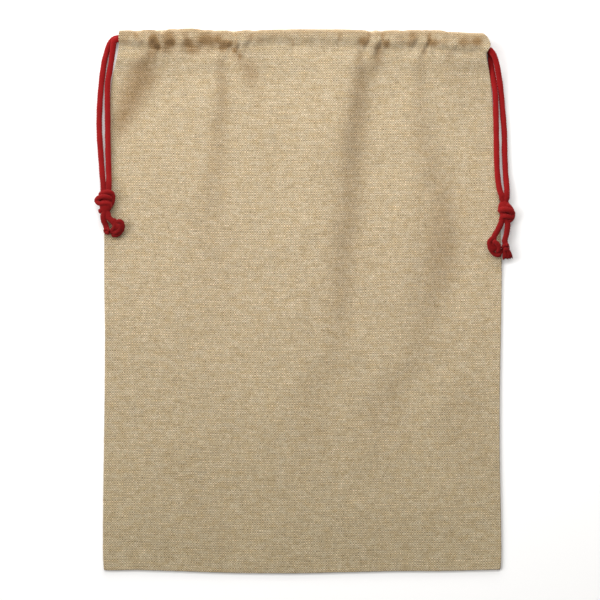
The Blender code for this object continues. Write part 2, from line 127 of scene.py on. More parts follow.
# Heights of the middle of the cloth: at the side edges of each panel, and along
# the front's crown
SECTIONS = table(
    "from_mouth front_rim back_rim crown",
    (0.0, MOUTH_RIM, BACK_REST, MOUTH_CROWN),
    (0.031, MOUTH_RIM, BACK_REST, MOUTH_CROWN),
    (0.056, 0.0068, 0.0048, 0.0212),
    (0.085, 0.0029, 0.0009, 0.0203),
    (0.115, FRONT_REST, BACK_REST, 0.019),
    (0.18, FRONT_REST, BACK_REST, 0.0165),
    (0.3, FRONT_REST, BACK_REST, 0.013),
    (0.45, FRONT_REST, BACK_REST, 0.0095),
    (0.6, FRONT_REST, BACK_REST, 0.006),
    (0.66, FRONT_REST, BACK_REST, 0.0035),
    (0.681, FRONT_REST, BACK_REST, FRONT_REST),
)
# The top edge: how far it droops, and how far below it the stitches are
MOUTH_EDGE = table(
    "x drop stitch",
    (-0.231, 0.0013, 0.021),
    (-0.204, 0.0004, 0.0228),
    (-0.185, 0.0003, 0.0258),
    (-0.16, -0.0006, 0.0254),
    (-0.141, -0.001, 0.0252),
    (-0.12, 0.0006, 0.023),
    (-0.097, 0.0012, 0.0256),
    (-0.078, 0.0014, 0.0248),
    (-0.064, 0.001, 0.0228),
    (-0.034, 0.0006, 0.0216),
    (0.0, 0.0002, 0.0228),
    (0.04, 0.0002, 0.024),
    (0.09, 0.0014, 0.0252),
    (0.13, 0.0008, 0.024),
    (0.16, 0.0004, 0.0252),
    (0.178, 0.0016, 0.0268),
    (0.2, 0.0034, 0.0272),
    (0.218, 0.0044, 0.0276),
    (0.237, 0.0045, 0.0292),
)

# How far the bottom edge sags below an even bow
HEM = table(
    "x drop",
    (-0.25, 0.0038),
    (-0.204, 0.0023),
    (-0.166, 0.0024),
    (-0.12, 0.0032),
    (-0.07, 0.0037),
    (-0.02, 0.0037),
    (0.05, 0.0026),
    (0.12, 0.0018),
    (0.174, 0.0027),
    (0.25, 0.0029),
)

# Long folds of the front: the cloth steps down to the right along each line
# and rises slowly again on both sides of it. Each row is (from mouth, x of the
# line, half width, depth of the step).
FOLDS = [table("from_mouth x half_width depth", *fold) for fold in (
    ((0.02, -0.1885, 0.01, 0.0),
     (0.033, -0.1938, 0.012, 0.0096),
     (0.046, -0.2018, 0.014, 0.0144),
     (0.058, -0.202, 0.017, 0.0146),
     (0.07, -0.207, 0.017, 0.0134),
     (0.088, -0.214, 0.016, 0.0116),
     (0.1, -0.2195, 0.014, 0.0094),
     (0.116, -0.226, 0.012, 0.0062),
     (0.132, -0.232, 0.011, 0.003),
     (0.152, -0.238, 0.01, 0.0)),
    ((0.026, -0.1, 0.006, 0.0),
     (0.04, -0.102, 0.006, 0.005),
     (0.058, -0.1015, 0.007, 0.0058),
     (0.078, -0.101, 0.008, 0.0064),
     (0.101, -0.1012, 0.01, 0.0068),
     (0.126, -0.1055, 0.011, 0.0059),
     (0.16, -0.1055, 0.013, 0.0062),
     (0.19, -0.112, 0.014, 0.0058),
     (0.227, -0.116, 0.018, 0.0052),
     (0.275, -0.113, 0.02, 0.0039),
     (0.34, -0.105, 0.02, 0.0021),
     (0.42, -0.125, 0.022, 0.0)),
    ((0.022, -0.086, 0.006, 0.0),
     (0.033, -0.084, 0.007, 0.0062),
     (0.04, -0.0768, 0.008, 0.0066),
     (0.048, -0.0718, 0.009, 0.007),
     (0.06, -0.0655, 0.011, 0.007),
     (0.07, -0.062, 0.012, 0.006),
     (0.088, -0.054, 0.014, 0.0034),
     (0.12, -0.046, 0.015, 0.0017),
     (0.18, -0.04, 0.016, 0.0013),
     (0.24, -0.038, 0.017, 0.0)),
    ((0.02, 0.0735, 0.005, 0.0),
     (0.033, 0.0738, 0.006, 0.005),
     (0.05, 0.0732, 0.008, 0.0071),
     (0.068, 0.0722, 0.011, 0.0109),
     (0.09, 0.0705, 0.012, 0.0127),
     (0.115, 0.067, 0.013, 0.0126),
     (0.14, 0.0632, 0.014, 0.0124),
     (0.176, 0.0612, 0.016, 0.0125),
     (0.214, 0.059, 0.017, 0.0115),
     (0.252, 0.0545, 0.017, 0.011),
     (0.3, 0.051, 0.016, 0.0078),
     (0.35, 0.048, 0.015, 0.0056),
     (0.403, 0.043, 0.015, 0.0036),
     (0.441, 0.017, 0.017, 0.0036),
     (0.466, 0.0071, 0.019, 0.004),
     (0.491, 0.0121, 0.02, 0.0039),
     (0.52, 0.0197, 0.021, 0.002),
     (0.55, 0.0253, 0.021, 0.0)),
    ((0.016, 0.102, 0.005, 0.0),
     (0.028, 0.095, 0.006, 0.0041),
     (0.044, 0.093, 0.007, 0.0051),
     (0.052, 0.091, 0.008, 0.0034),
     (0.064, 0.088, 0.008, 0.0)),
    ((0.024, 0.1533, 0.005, 0.0),
     (0.036, 0.1505, 0.006, 0.0024),
     (0.06, 0.1473, 0.007, 0.0029),
     (0.088, 0.1487, 0.009, 0.0034),
     (0.108, 0.1494, 0.012, 0.0046),
     (0.139, 0.1524, 0.015, 0.0062),
     (0.164, 0.1612, 0.015, 0.0072),
     (0.19, 0.1665, 0.02, 0.0102),
     (0.227, 0.176, 0.024, 0.0126),
     (0.265, 0.177, 0.026, 0.0128),
     (0.31, 0.171, 0.023, 0.01),
     (0.36, 0.157, 0.018, 0.0059),
     (0.403, 0.1437, 0.019, 0.0046),
     (0.435, 0.1269, 0.02, 0.0039),
     (0.458, 0.1011, 0.021, 0.0044),
     (0.491, 0.0981, 0.021, 0.0051),
     (0.516, 0.1092, 0.022, 0.0033),
     (0.56, 0.1247, 0.022, 0.0)),
    ((0.03, 0.176, 0.01, 0.0),
     (0.042, 0.176, 0.011, 0.0024),
     (0.052, 0.19, 0.012, 0.0036),
     (0.066, 0.201, 0.011, 0.0031),
     (0.078, 0.211, 0.01, 0.0022),
     (0.1, 0.223, 0.01, 0.0)),
    ((0.425, 0.218, 0.016, 0.0),
     (0.45, 0.212, 0.018, 0.0038),
     (0.479, 0.2, 0.02, 0.0048),
     (0.516, 0.2075, 0.021, 0.0029),
     (0.56, 0.215, 0.021, 0.0)),
    ((0.5, -0.17, 0.01, 0.0),
     (0.525, -0.16, 0.01, 0.0014),
     (0.56, -0.148, 0.011, 0.0022),
     (0.6, -0.13, 0.012, 0.0022),
     (0.64, -0.104, 0.012, 0.0022),
     (0.665, -0.095, 0.012, 0.0)),
)]

# Low swells of the lower half: centre, from mouth, half length and half width,
# the way the crest turns in degrees, and height
SWELLS = table(
    "x from_mouth half_long half_wide turn height",
    (-0.02, 0.5, 0.06, 0.022, -52, 0.0006),
    (0.07, 0.51, 0.08, 0.024, -50, 0.0006),
    (-0.215, 0.6, 0.06, 0.02, 12, 0.0008),
    (-0.18, 0.64, 0.04, 0.018, -38, 0.0006),
    (0.115, 0.61, 0.05, 0.026, -60, 0.0004),
)

# Creases across the front casing, where the drawcord gathers it: x at the top
# edge and at the stitches, and how far the crease dips the top edge and runs
# on below the stitches.
CREASES = table(
    "x_top x_stitch half_width depth dip run_on",
    (-0.21, -0.206, 0.0045, 0.0008, 0.001, 0.006),
    (-0.198, -0.199, 0.004, 0.0012, 0.0, 0.01),
    (-0.184, -0.19, 0.0046, 0.003, 0.0004, 0.012),
    (-0.1735, -0.1795, 0.003, 0.0026, 0.0008, 0.014),
    (-0.18, -0.167, 0.0042, 0.0028, 0.001, 0.008),
    (-0.156, -0.16, 0.0044, 0.0024, 0.0, 0.006),
    (-0.144, -0.145, 0.0046, 0.0026, 0.0, 0.01),
    (-0.143, -0.137, 0.0036, 0.0022, 0.0, 0.014),
    (-0.123, -0.125, 0.005, 0.0022, 0.0006, 0.005),
    (-0.108, -0.11, 0.0044, 0.0018, 0.0008, 0.006),
    (-0.099, -0.0995, 0.004, 0.0024, 0.0004, 0.006),
    (-0.084, -0.09, 0.0036, 0.0034, 0.0012, 0.012),
    (-0.076, -0.08, 0.002, 0.0016, 0.0006, 0.006),
    (-0.06, -0.068, 0.0036, 0.0014, 0.0002, 0.004),
    (-0.044, -0.04, 0.005, 0.001, 0.0004, 0.004),
    (-0.018, -0.011, 0.0026, 0.0018, 0.0002, 0.005),
    (0.012, 0.015, 0.0044, 0.0014, 0.0, 0.008),
    (0.041, 0.047, 0.0026, 0.002, 0.0002, 0.004),
    (0.07, 0.073, 0.003, 0.0022, 0.0002, 0.012),
    (0.089, 0.08, 0.0034, 0.0028, 0.001, 0.008),
    (0.104, 0.096, 0.003, 0.0034, 0.0008, 0.012),
    (0.112, 0.106, 0.0042, 0.0016, 0.0002, 0.006),
    (0.13, 0.129, 0.005, 0.0012, 0.0002, 0.004),
    (0.15, 0.14, 0.0034, 0.0026, 0.0, 0.006),
    (0.14, 0.147, 0.003, 0.0016, 0.0, 0.004),
    (0.166, 0.156, 0.0026, 0.0034, 0.0004, 0.012),
    (0.168, 0.166, 0.0046, 0.0022, 0.0004, 0.006),
    (0.196, 0.195, 0.0046, 0.002, 0.0004, 0.006),
    (0.208, 0.206, 0.007, 0.0018, 0.0002, 0.004),
    (0.223, 0.216, 0.006, 0.002, 0.0, 0.004),
)

# Painted shade in the hollows of the front's gathers and along its folds, read off in pixels of the
# view: place, half sizes and how dark the painted shade is
PAINTED_HOLLOW_SHADE = table(
    "px py half_wide half_high dark",
    (128, 43, 6, 2, 0.3),
    (124, 39.5, 5, 4, 0.34),
    (136.2, 36.5, 3, 3.5, 0.3),
    (140.5, 41.5, 5, 3, 0.35),
    (153.6, 41.8, 4.8, 5, 1.35),
    (157.6, 47.5, 3.6, 2.6, 1.1),
    (152, 54, 5, 4, 0.45),
    (169.6, 38.6, 6.5, 4.5, 0.7),
    (170.5, 43.4, 5, 3, 0.8),
    (166, 50, 5, 3, 0.35),
    (188.6, 43.6, 5, 3.6, 0.75),
    (193, 50, 7, 4, 0.5),
    (186, 37, 4, 3, 0.45),
    (206.5, 40.4, 9, 4.2, 0.7),
    (219, 40.5, 4, 3.4, 0.55),
    (227, 44.6, 6, 3, 0.95),
    (223, 49.5, 4.5, 3, 0.6),
    (236.4, 44, 1.8, 4.5, 0.45),
    (234.8, 51, 2.8, 2.2, 1),
    (240, 56.5, 2.4, 3.6, 0.6),
    (250, 39, 4.5, 2.8, 0.5),
    (260.5, 41, 5, 2.8, 0.4),
    (273, 38.5, 6, 2.6, 0.2),
    (287, 39.5, 5, 2.6, 0.12),
    (293, 43, 1.6, 3.4, 0.5),
    (308.5, 40, 8, 2.6, 0.1),
    (324, 40, 7, 2.6, 0.12),
    (339.5, 39.4, 2.4, 3.4, 0.5),
    (363, 42.2, 5.6, 3.8, 0.9),
    (368.4, 37.6, 2, 3.6, 0.5),
    (377.5, 47.5, 4, 4, 0.4),
    (382, 38.8, 2, 4, 0.55),
    (386, 44.4, 4.4, 3.2, 0.9),
    (378.6, 56, 4, 7, 0.3),
    (399, 40.5, 6, 3, 0.35),
    (412.4, 39, 4.4, 4.6, 0.66),
    (408, 44.6, 4, 2.6, 0.4),
    (428.6, 39.6, 2.6, 4.6, 0.7),
    (433.4, 43.4, 7, 3.4, 0.75),
    (424, 51.5, 4, 4, 0.4),
    (446, 42, 6, 3, 0.35),
    (463, 42.8, 7, 3.4, 0.75),
    (476.5, 42.6, 6.5, 3.6, 0.9),
    (449, 56, 4, 5, 0.25),
    (164, 45, 16, 6, 0.3),
    (208, 44, 26, 6.5, 0.36),
    (186, 53, 24, 5, 0.14),
    (143, 76, 15, 13, 0.32),
    (130, 99, 13, 14, 0.34),
    (121, 122, 9, 13, 0.32),
    (252, 70, 8, 12, 0.2),
    (442, 245, 14, 36, 0.12),
)

# Notches of the top edge between the gathers
NOTCHES = table(
    "x half_width depth",
    (-0.207, 0.005, 0.0016),
    (-0.1765, 0.0046, 0.002),
    (-0.156, 0.004, 0.0006),
    (-0.086, 0.006, 0.0012),
    (-0.057, 0.006, 0.001),
    (0.0905, 0.004, 0.001),
    (0.1035, 0.003, 0.0008),
    (0.132, 0.005, 0.0008),
    (0.156, 0.0034, 0.0008),
    (0.1885, 0.0032, 0.0014),
)

# Routes of the free cords from the casing's end to the knot
LEFT_FRONT_ROUTE = (
    (-0.2302, 0.3276, 0.0151), (-0.2335, 0.3276, 0.0151), (-0.2362, 0.3254, 0.0147),
    (-0.2375, 0.3200, 0.0137), (-0.2383, 0.3130, 0.0121), (-0.2401, 0.3010, 0.0099),
    (-0.2422, 0.2880, 0.0080), (-0.2447, 0.2740, 0.0067), (-0.2452, 0.2522, 0.0064),
    (-0.2448, 0.2300, 0.0065), (-0.2447, 0.2050, 0.0064), (-0.2441, 0.1800, 0.0064),
    (-0.2434, 0.1577, 0.0069), (-0.2433, 0.1450, 0.0090),
)
LEFT_BACK_ROUTE = (
    (-0.2306, 0.3306, 0.0048), (-0.2335, 0.3304, 0.0048), (-0.2378, 0.3288, 0.0046),
    (-0.2418, 0.3240, 0.0041), (-0.2452, 0.3160, 0.0037), (-0.2478, 0.3065, 0.0035),
    (-0.2502, 0.2950, 0.0034), (-0.2535, 0.2680, 0.0034), (-0.2553, 0.2400, 0.0034),
    (-0.2556, 0.2144, 0.0034), (-0.2536, 0.1829, 0.0035), (-0.2518, 0.1600, 0.0056),
    (-0.2503, 0.1450, 0.0088),
)
RIGHT_FRONT_ROUTE = (
    (0.2349, 0.3156, 0.0151), (0.2372, 0.3136, 0.0150), (0.2405, 0.3095, 0.0143),
    (0.2434, 0.3030, 0.0127), (0.2460, 0.2930, 0.0102), (0.2485, 0.2790, 0.0070),
    (0.2509, 0.2620, 0.0045), (0.2529, 0.2400, 0.0035), (0.2551, 0.2100, 0.0034),
    (0.2555, 0.1850, 0.0034), (0.2566, 0.1600, 0.0042), (0.2580, 0.1420, 0.0066),
)
RIGHT_BACK_ROUTE = (
    (0.2345, 0.3149, 0.0048), (0.2360, 0.3135, 0.0048), (0.2372, 0.3105, 0.0047),
    (0.2375, 0.3050, 0.0046), (0.2382, 0.2970, 0.0045), (0.2397, 0.2880, 0.0045),
    (0.2412, 0.2780, 0.0048), (0.2431, 0.2650, 0.0058), (0.2440, 0.2520, 0.0064),
    (0.2446, 0.2250, 0.0064), (0.2450, 0.1980, 0.0064), (0.2454, 0.1750, 0.0064),
    (0.2465, 0.1560, 0.0068), (0.2486, 0.1410, 0.0074),
)
LEFT_LONG_TAIL = ()
LEFT_SHORT_TAIL = ((-0.2492, 0.0990, 0.0092),)
RIGHT_LONG_TAIL = ((0.2492, 0.0935, 0.0084),)
RIGHT_SHORT_TAIL = ((0.2590, 0.0950, 0.0080), (0.2576, 0.0840, 0.0083))

Knot = namedtuple("Knot", "centre along half_long half_wide half_thick")
KNOTS = {
    "left_knot": Knot((-0.2470, 0.1197, 0.0105), (0.0, -1.0), 0.0132, 0.0112, 0.0074),
    "right_knot": Knot((0.2548, 0.1157, 0.0077), (0.0, -1.0), 0.0136, 0.0100, 0.0072),
    "left_long_end_knot": Knot((-0.2316, 0.0912, 0.0114), (0.64, -0.77), 0.0086, 0.0088, 0.0074),
    "left_short_end_knot": Knot((-0.2455, 0.0875, 0.0081), (0.24, -0.97), 0.0058, 0.0048, 0.0048),
    "right_long_end_knot": Knot((0.2398, 0.0685, 0.0106), (-0.18, -0.98), 0.0098, 0.0084, 0.0068),
    "right_short_end_knot": Knot((0.2563, 0.0671, 0.0084), (0.12, -0.99), 0.0062, 0.0056, 0.0056),
}

# ---------------------------------------------------------------- camera
CAMERA_HEIGHT = 4.008
CAMERA_RANGE = 4.0
CAMERA_SENSOR_MM = 36.0
VIEW_PIXELS = 600

camera_data = bpy.data.cameras.new("camera")
camera_data.sensor_width = CAMERA_SENSOR_MM
camera_data.lens = CAMERA_SENSOR_MM * CAMERA_RANGE / (VIEW_PIXELS * PIXEL)
camera_data.clip_start = 0.05
camera_data.clip_end = 50.0
camera = bpy.data.objects.new("camera", camera_data)
camera_x = (VIEW_PIXELS / 2 - PIXEL_X) * PIXEL
camera_y = (PIXEL_Y - VIEW_PIXELS / 2) * PIXEL
camera.location = (camera_x, camera_y, CAMERA_HEIGHT)
bpy.context.collection.objects.link(camera)
bpy.context.scene.camera = camera


# ---------------------------------------------------------------- helpers
def read(rows, column, at):
    """A column's value at a place, smooth and without overshoot between rows."""
    places = np.array([row[0] for row in rows])
    values = np.array([getattr(row, column) for row in rows])
    steps = np.diff(places)
    slopes = np.diff(values) / steps
    tangents = np.zeros_like(values)
    for i in range(1, len(values) - 1):
        if slopes[i - 1] * slopes[i] > 0:
            tangents[i] = 2 * slopes[i - 1] * slopes[i] / (slopes[i - 1] + slopes[i])
    at = np.clip(at, places[0], places[-1])
    index = np.clip(np.searchsorted(places, at) - 1, 0, len(steps) - 1)
    step = steps[index]
    t = (at - places[index]) / step
    start_share = (1 + 2 * t) * (1 - t) ** 2
    start_slope = t * (1 - t) ** 2
    end_slope = t ** 2 * (t - 1)
    along = start_share * values[index] + (1 - start_share) * values[index + 1]
    return along + step * (start_slope * tangents[index] + end_slope * tangents[index + 1])


def smooth(t):
    """Ease from 0 to 1, level at both ends."""
    t = np.clip(t, 0.0, 1.0)
    return t * t * (3 - 2 * t)


Waves = namedtuple("Waves", "seed length height")
CROSSING_WAVES = 7
WAVES_SUM = 4.2
WAVE_BEND = 0.18
WAVE_BEND_LENGTH = 2.3


def ripple(x, y, waves):
    """Soft uneven height up and down, from a few waves that cross and bend."""
    draw = random.Random(waves.seed)
    bend = WAVE_BEND * waves.length
    total = 0.0
    for _ in range(CROSSING_WAVES):
        angle = draw.uniform(0, math.pi)
        wave = waves.length * draw.uniform(0.7, 1.6)
        phase = draw.uniform(0, 2 * math.pi)
        along = x * math.cos(angle) + y * math.sin(angle)
        bent = along + bend * np.sin(2 * math.pi * (y - x) / (WAVE_BEND_LENGTH * waves.length) + phase)
        total = total + np.sin(2 * math.pi * bent / wave + phase)
    return waves.height * total / WAVES_SUM


def unit(vectors):
    """Vectors of length 1 in the same directions."""
    return vectors / np.linalg.norm(vectors, axis=-1, keepdims=True)


def lengths_along(path):
    """Distance from the start of a path to each of its places."""
    steps = np.linalg.norm(np.diff(path, axis=0), axis=1)
    return np.concatenate([[0.0], np.cumsum(steps)])


def mound(x, centre, half_width):
    """A soft rise to 1 about a centre."""
    return np.exp(-((x - centre) / half_width) ** 2)


def ride(piece, slot_name, *nodes):
    """Let a piece ride on the part's one body and stand for CAD nodes."""
    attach(piece, "root")
    if nodes:
        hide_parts(*nodes)
    return piece


def mesh_piece(name, points, faces, uvs, material):
    """A mesh object, shaded smooth, with flat cloth or cord coordinates as UVs."""
    data = bpy.data.meshes.new(name)
    data.from_pydata([tuple(p) for p in points], [], faces)
    layer = data.uv_layers.new(name="flat")
    corner_points = np.empty(len(data.loops), dtype=np.int32)
    data.loops.foreach_get("vertex_index", corner_points)
    layer.data.foreach_set("uv", np.asarray(uvs, dtype=np.float32)[corner_points].ravel())
    data.shade_smooth()
    data.materials.append(material)
    data.validate()
    item = bpy.data.objects.new(name, data)
    bpy.context.collection.objects.link(item)
    return item


def ringed_piece(name, rings, uvs, material):
    """A closed mesh round a row of rings of points, with both ends filled."""
    rings = np.array(rings)
    count, sides = rings.shape[:2]
    number = np.arange(count * sides).reshape(count, sides)
    beside = np.roll(number, -1, axis=1)
    around = np.stack([number[:-1], beside[:-1], beside[1:], number[1:]], axis=-1)
    faces = [*around.reshape(-1, 4).tolist(), number[0, ::-1].tolist(), number[-1].tolist()]
    return mesh_piece(name, rings.reshape(-1, 3), faces, np.reshape(uvs, (-1, 2)), material)


def join(name, parts):
    """Make one piece of several."""
    bpy.ops.object.select_all(action="DESELECT")
    for part in parts:
        part.select_set(True)
    bpy.context.view_layer.objects.active = parts[0]
    bpy.ops.object.join()
    parts[0].name = name
    parts[0].data.name = name
    return parts[0]


# ---------------------------------------------------------------- materials
CREAM = (0.648, 0.545, 0.386)
OCHRE = (0.580, 0.448, 0.264)
THREAD_BEIGE = (0.60, 0.47, 0.30)
COTTON_RED = (0.260, 0.0080, 0.0085)

# Painted shade, as tints of the cloth: deep in a fold and in a gather, and darker towards the bottom
# edge
FOLD_PAINTED_SHADE = (0.64, 0.505, 0.365)
GATHER_PAINTED_SHADE = (0.52, 0.47, 0.42)
LOWER_PAINTED_SHADE = (0.885, 0.895, 0.865)
LOWER_FROM = 0.36
LOWER_TO = 0.02

# The weave's threads: mean tone and spread of each set, and of each crossing
WARP_TONE = 0.66
WARP_SPREAD = 0.40
WEFT_TONE = 1.36
WEFT_SPREAD = 0.70
CROSSING_SPREAD = 0.50
ROW_TONE = 0.14
THREAD_WANDER = 1.5
OVER_RISE = 0.38
GRAIN_BUMP = 0.00030

# The tails below the main knots are painted a little darker than the strands above: painted shade
TAIL_FROM = 0.180
TAIL_FADE = 0.010
TAIL_SHADE = 0.24


class Value:
    """A number that varies over a surface, worked out by shader nodes."""

    def __init__(self, tree, socket):
        self.tree = tree
        self.socket = socket

    def by(self, operation, *others):
        """One step of arithmetic with this value and others."""
        node = self.tree.nodes.new("ShaderNodeMath")
        node.operation = operation
        for target, value in zip(node.inputs, (self, *others)):
            feed(self.tree, target, value)
        return Value(self.tree, node.outputs[0])

    def held(self):
        """The value kept between 0 and 1."""
        return self.by("MINIMUM", 1.0).by("MAXIMUM", 0.0)

    def __add__(self, other):
        return self.by("ADD", other)

    def __sub__(self, other):
        return self.by("SUBTRACT", other)

    def __mul__(self, other):
        return self.by("MULTIPLY", other)


def feed(tree, target, value):
    """Set a node's input to a number or a colour, or link it to a value."""
    if isinstance(value, Value):
        tree.links.new(value.socket, target)
    else:
        target.default_value = (*value, 1.0) if isinstance(value, tuple) else value


def set_inputs(node, **settings):
    """Set a node's inputs, named with underscores for their spaces."""
    for name, value in settings.items():
        node.inputs[name.replace("_", " ")].default_value = value


def grain(x, y, scale_x, scale_y, detail=2.0, offset=0.0):
    """Uneven tone from 0 to 1 at a place of the cloth, stretched by its scales."""
    place = x.tree.nodes.new("ShaderNodeCombineXYZ")
    feed(x.tree, place.inputs["X"], x * scale_x + offset)
    feed(x.tree, place.inputs["Y"], y * scale_y + offset)
    node = x.tree.nodes.new("ShaderNodeTexNoise")
    node.noise_dimensions = "2D"
    x.tree.links.new(place.outputs[0], node.inputs["Vector"])
    set_inputs(node, Scale=1.0, Detail=detail, Roughness=0.6)
    return Value(x.tree, node.outputs[0])


def spread(tone, middle, width):
    """An uneven tone from 0 to 1 as one that varies about a middle."""
    return tone * width + (middle - width / 2)


def blend(tree, share, a, b, mode="MIX"):
    """A colour between two, or their product."""
    node = tree.nodes.new("ShaderNodeMix")
    node.data_type = "RGBA"
    node.blend_type = mode
    colours = [s for s in node.inputs if s.type == "RGBA"]
    feed(tree, node.inputs[0], share)
    feed(tree, colours[0], a)
    feed(tree, colours[1], b)
    return Value(tree, [s for s in node.outputs if s.type == "RGBA"][0])


def tint(tree, colour, by, share=1.0):
    """A colour times another, or times a value, by a share of the whole."""
    return blend(tree, share, colour, by, "MULTIPLY")


def new_material(name, roughness, sheen, specular):
    """A matt fabric: its material, node tree, shader and two flat coordinates."""
    material = bpy.data.materials.new(name)
    material.use_nodes = True
    tree = material.node_tree
    shader = tree.nodes["Principled BSDF"]
    set_inputs(shader, Roughness=roughness, Diffuse_Roughness=0.9, Sheen_Weight=sheen,
               Sheen_Roughness=0.5, Specular_IOR_Level=specular)
    flat = tree.nodes.new("ShaderNodeUVMap")
    flat.uv_map = "flat"
    split = tree.nodes.new("ShaderNodeSeparateXYZ")
    tree.links.new(flat.outputs[0], split.inputs[0])
    return material, tree, shader, Value(tree, split.outputs[0]), Value(tree, split.outputs[1])


def finish(tree, shader, colour, relief, distance, strength=1.0, roughness=None):
    """Give a shader its colour, roughness and raised grain."""
    feed(tree, shader.inputs["Base Color"], colour)
    if roughness:
        feed(tree, shader.inputs["Roughness"], roughness)
    node = tree.nodes.new("ShaderNodeBump")
    set_inputs(node, Strength=strength, Distance=distance)
    feed(tree, node.inputs["Height"], relief)
    tree.links.new(node.outputs[0], shader.inputs["Normal"])


def cloth_material(name):
    """Coarse plain weave with slubs, in natural beige."""
    material, tree, shader, u, v = new_material(name, 0.92, 0.10, 0.10)
    drift_u = spread(grain(u, v, 70.0, 90.0, 2.0, 3.1), 0.0, THREAD_WANDER)
    drift_v = spread(grain(u, v, 60.0, 240.0, 2.0, 7.7), 0.0, THREAD_WANDER)
    across = u * (1 / THREAD_PITCH) + drift_u
    along = v * (1 / THREAD_PITCH) + drift_v
    sine_u = (across * math.pi).by("SINE")
    sine_v = (along * math.pi).by("SINE")
    over = sine_u * sine_v
    warp_height = sine_u.by("ABSOLUTE") * (over * OVER_RISE + (1 - OVER_RISE))
    weft_height = sine_v.by("ABSOLUTE") * (over * -OVER_RISE + (1 - OVER_RISE))
    height = warp_height.by("MAXIMUM", weft_height)
    is_weft = (over * -0.9 + 0.5).held()
    is_warp = is_weft * -1.0 + 1.0

    warp_thread = across.by("FLOOR")
    weft_thread = along.by("FLOOR")
    warp = spread(grain(warp_thread, v, 0.73, 60.0, 1.0, 11.3), WARP_TONE, WARP_SPREAD)
    weft = spread(grain(u, weft_thread, 45.0, 0.81, 2.0, 5.9), WEFT_TONE, WEFT_SPREAD)
    crossing = grain(warp_thread, weft_thread, 3.73, 3.37, 1.0, 9.4)
    threads = weft * is_weft + warp * is_warp
    threads = threads + spread(crossing, 0.0, CROSSING_SPREAD) + sine_v * ROW_TONE
    broad = spread(grain(u, v, 13.0, 17.0, 4.0, 1.7), 1.0, 0.12)
    # The threads are darker where they dip between crossings: painted shade in the weave's hollows
    value = threads * (height * 0.26 + 0.585) * broad

    hue = (grain(u, v, 70.0, 120.0, 3.0, 2.3) + crossing) * 1.6 - 1.1
    colour = tint(tree, blend(tree, hue, OCHRE, CREAM), value)
    # Painted shade: the cloth is tinted darker towards the bottom edge
    lower = (v * -1.0 + LOWER_FROM) * (1 / (LOWER_FROM - LOWER_TO))
    # The crease attribute holds painted shade of the folds, the gathers and the top edge
    crease = tree.nodes.new("ShaderNodeAttribute")
    crease.attribute_name = "crease"
    deep = Value(tree, crease.outputs["Fac"])
    colour = tint(tree, colour, LOWER_PAINTED_SHADE, lower)
    colour = tint(tree, colour, FOLD_PAINTED_SHADE, deep)
    colour = tint(tree, colour, GATHER_PAINTED_SHADE, deep - 1.0)
    fibre = grain(u, v, 2600.0, 2600.0, 2.0, 4.4)
    finish(tree, shader, colour, fibre * 0.25 + height, GRAIN_BUMP, 0.7, fibre * 0.12 + 0.84)
    return material


def cord_material(name, tone=1.0):
    """Soft twisted cotton in deep red."""
    material, tree, shader, around, along = new_material(name, 0.85, 0.04, 0.06)
    twist = along * 2.0 + around
    yarn = grain(twist, along, 1500.0, 260.0, 2.0, 2.9)
    fibre = grain(around, along, 4200.0, 2600.0, 2.0, 6.1)
    worn = grain(around, along, 55.0, 42.0, 3.0, 8.8)
    # A tone below 1 gives a darker copy of the cotton: painted shade
    value = yarn * 0.70 + 0.36 * tone + fibre * 0.40 + worn * 0.30
    tail = ((along - TAIL_FROM) * (1 / TAIL_FADE)).held()
    value = value * (0.5 + 0.5 * tone) * (tail * -TAIL_SHADE + 1.0)
    colour = tint(tree, COTTON_RED, value)
    finish(tree, shader, colour, fibre * 0.5 + yarn, GRAIN_BUMP, 0.9, fibre * 0.2 + 0.74)
    return material


def thread_material(name):
    """Sewing thread, a little lighter than the cloth."""
    material, tree, shader, around, along = new_material(name, 0.8, 0.1, 0.2)
    ply = grain(around, along, 900.0, 1800.0, 2.0, 1.2)
    finish(tree, shader, tint(tree, THREAD_BEIGE, spread(ply, 1.0, 0.4)), ply, 0.0001)
    return material


front_weave = cloth_material("front_weave")
back_weave = cloth_material("back_weave")
seam_weave = cloth_material("seam_weave")
red_cotton = cord_material("red_cotton")
# Darker copies of the red cotton for the knots, their ends and the frayed yarns: painted shade
shaded_knot_cotton = cord_material("shaded_knot_cotton", 0.78)
shaded_end_cotton = cord_material("shaded_end_cotton", 0.66)
shaded_cotton = cord_material("shaded_cotton", 0.54)
sewing_thread = thread_material("sewing_thread")

# ---------------------------------------------------------------- cords
# A cord's plies and yarns: how deep and round they are, and its unevenness
PLIES = 3
YARNS = 12
YARN_LEAD = 5
YARN_RISE = 0.018
PLY_GROOVE = 1.7
PLY_ROUND = 0.8
PLY_SWELL = 0.35
UNEVEN = table("share per_metre lead", (0.025, 310, 3), (0.02, 137, 1))
FINE_STEP = 0.0006


def through(points, step):
    """Places a step apart on one smooth curve through the given points."""
    guides = [np.array(p) for p in points]
    guides = [2 * guides[0] - guides[1], *guides, 2 * guides[-1] - guides[-2]]
    dense = []
    for a, b, c, d in zip(guides, guides[1:], guides[2:], guides[3:]):
        for t in np.arange(12) / 12:
            bend = (2 * a - 5 * b + 4 * c - d) * t * t + (3 * b - a - 3 * c + d) * t ** 3
            dense.append(0.5 * (2 * b + (c - a) * t + bend))
    dense = np.array([*dense, guides[-2]])
    lengths = lengths_along(dense)
    count = max(4, round(lengths[-1] / step) + 1)
    wanted = np.linspace(0.0, lengths[-1], count)
    return np.stack([np.interp(wanted, lengths, dense[:, axis]) for axis in range(3)], axis=1)


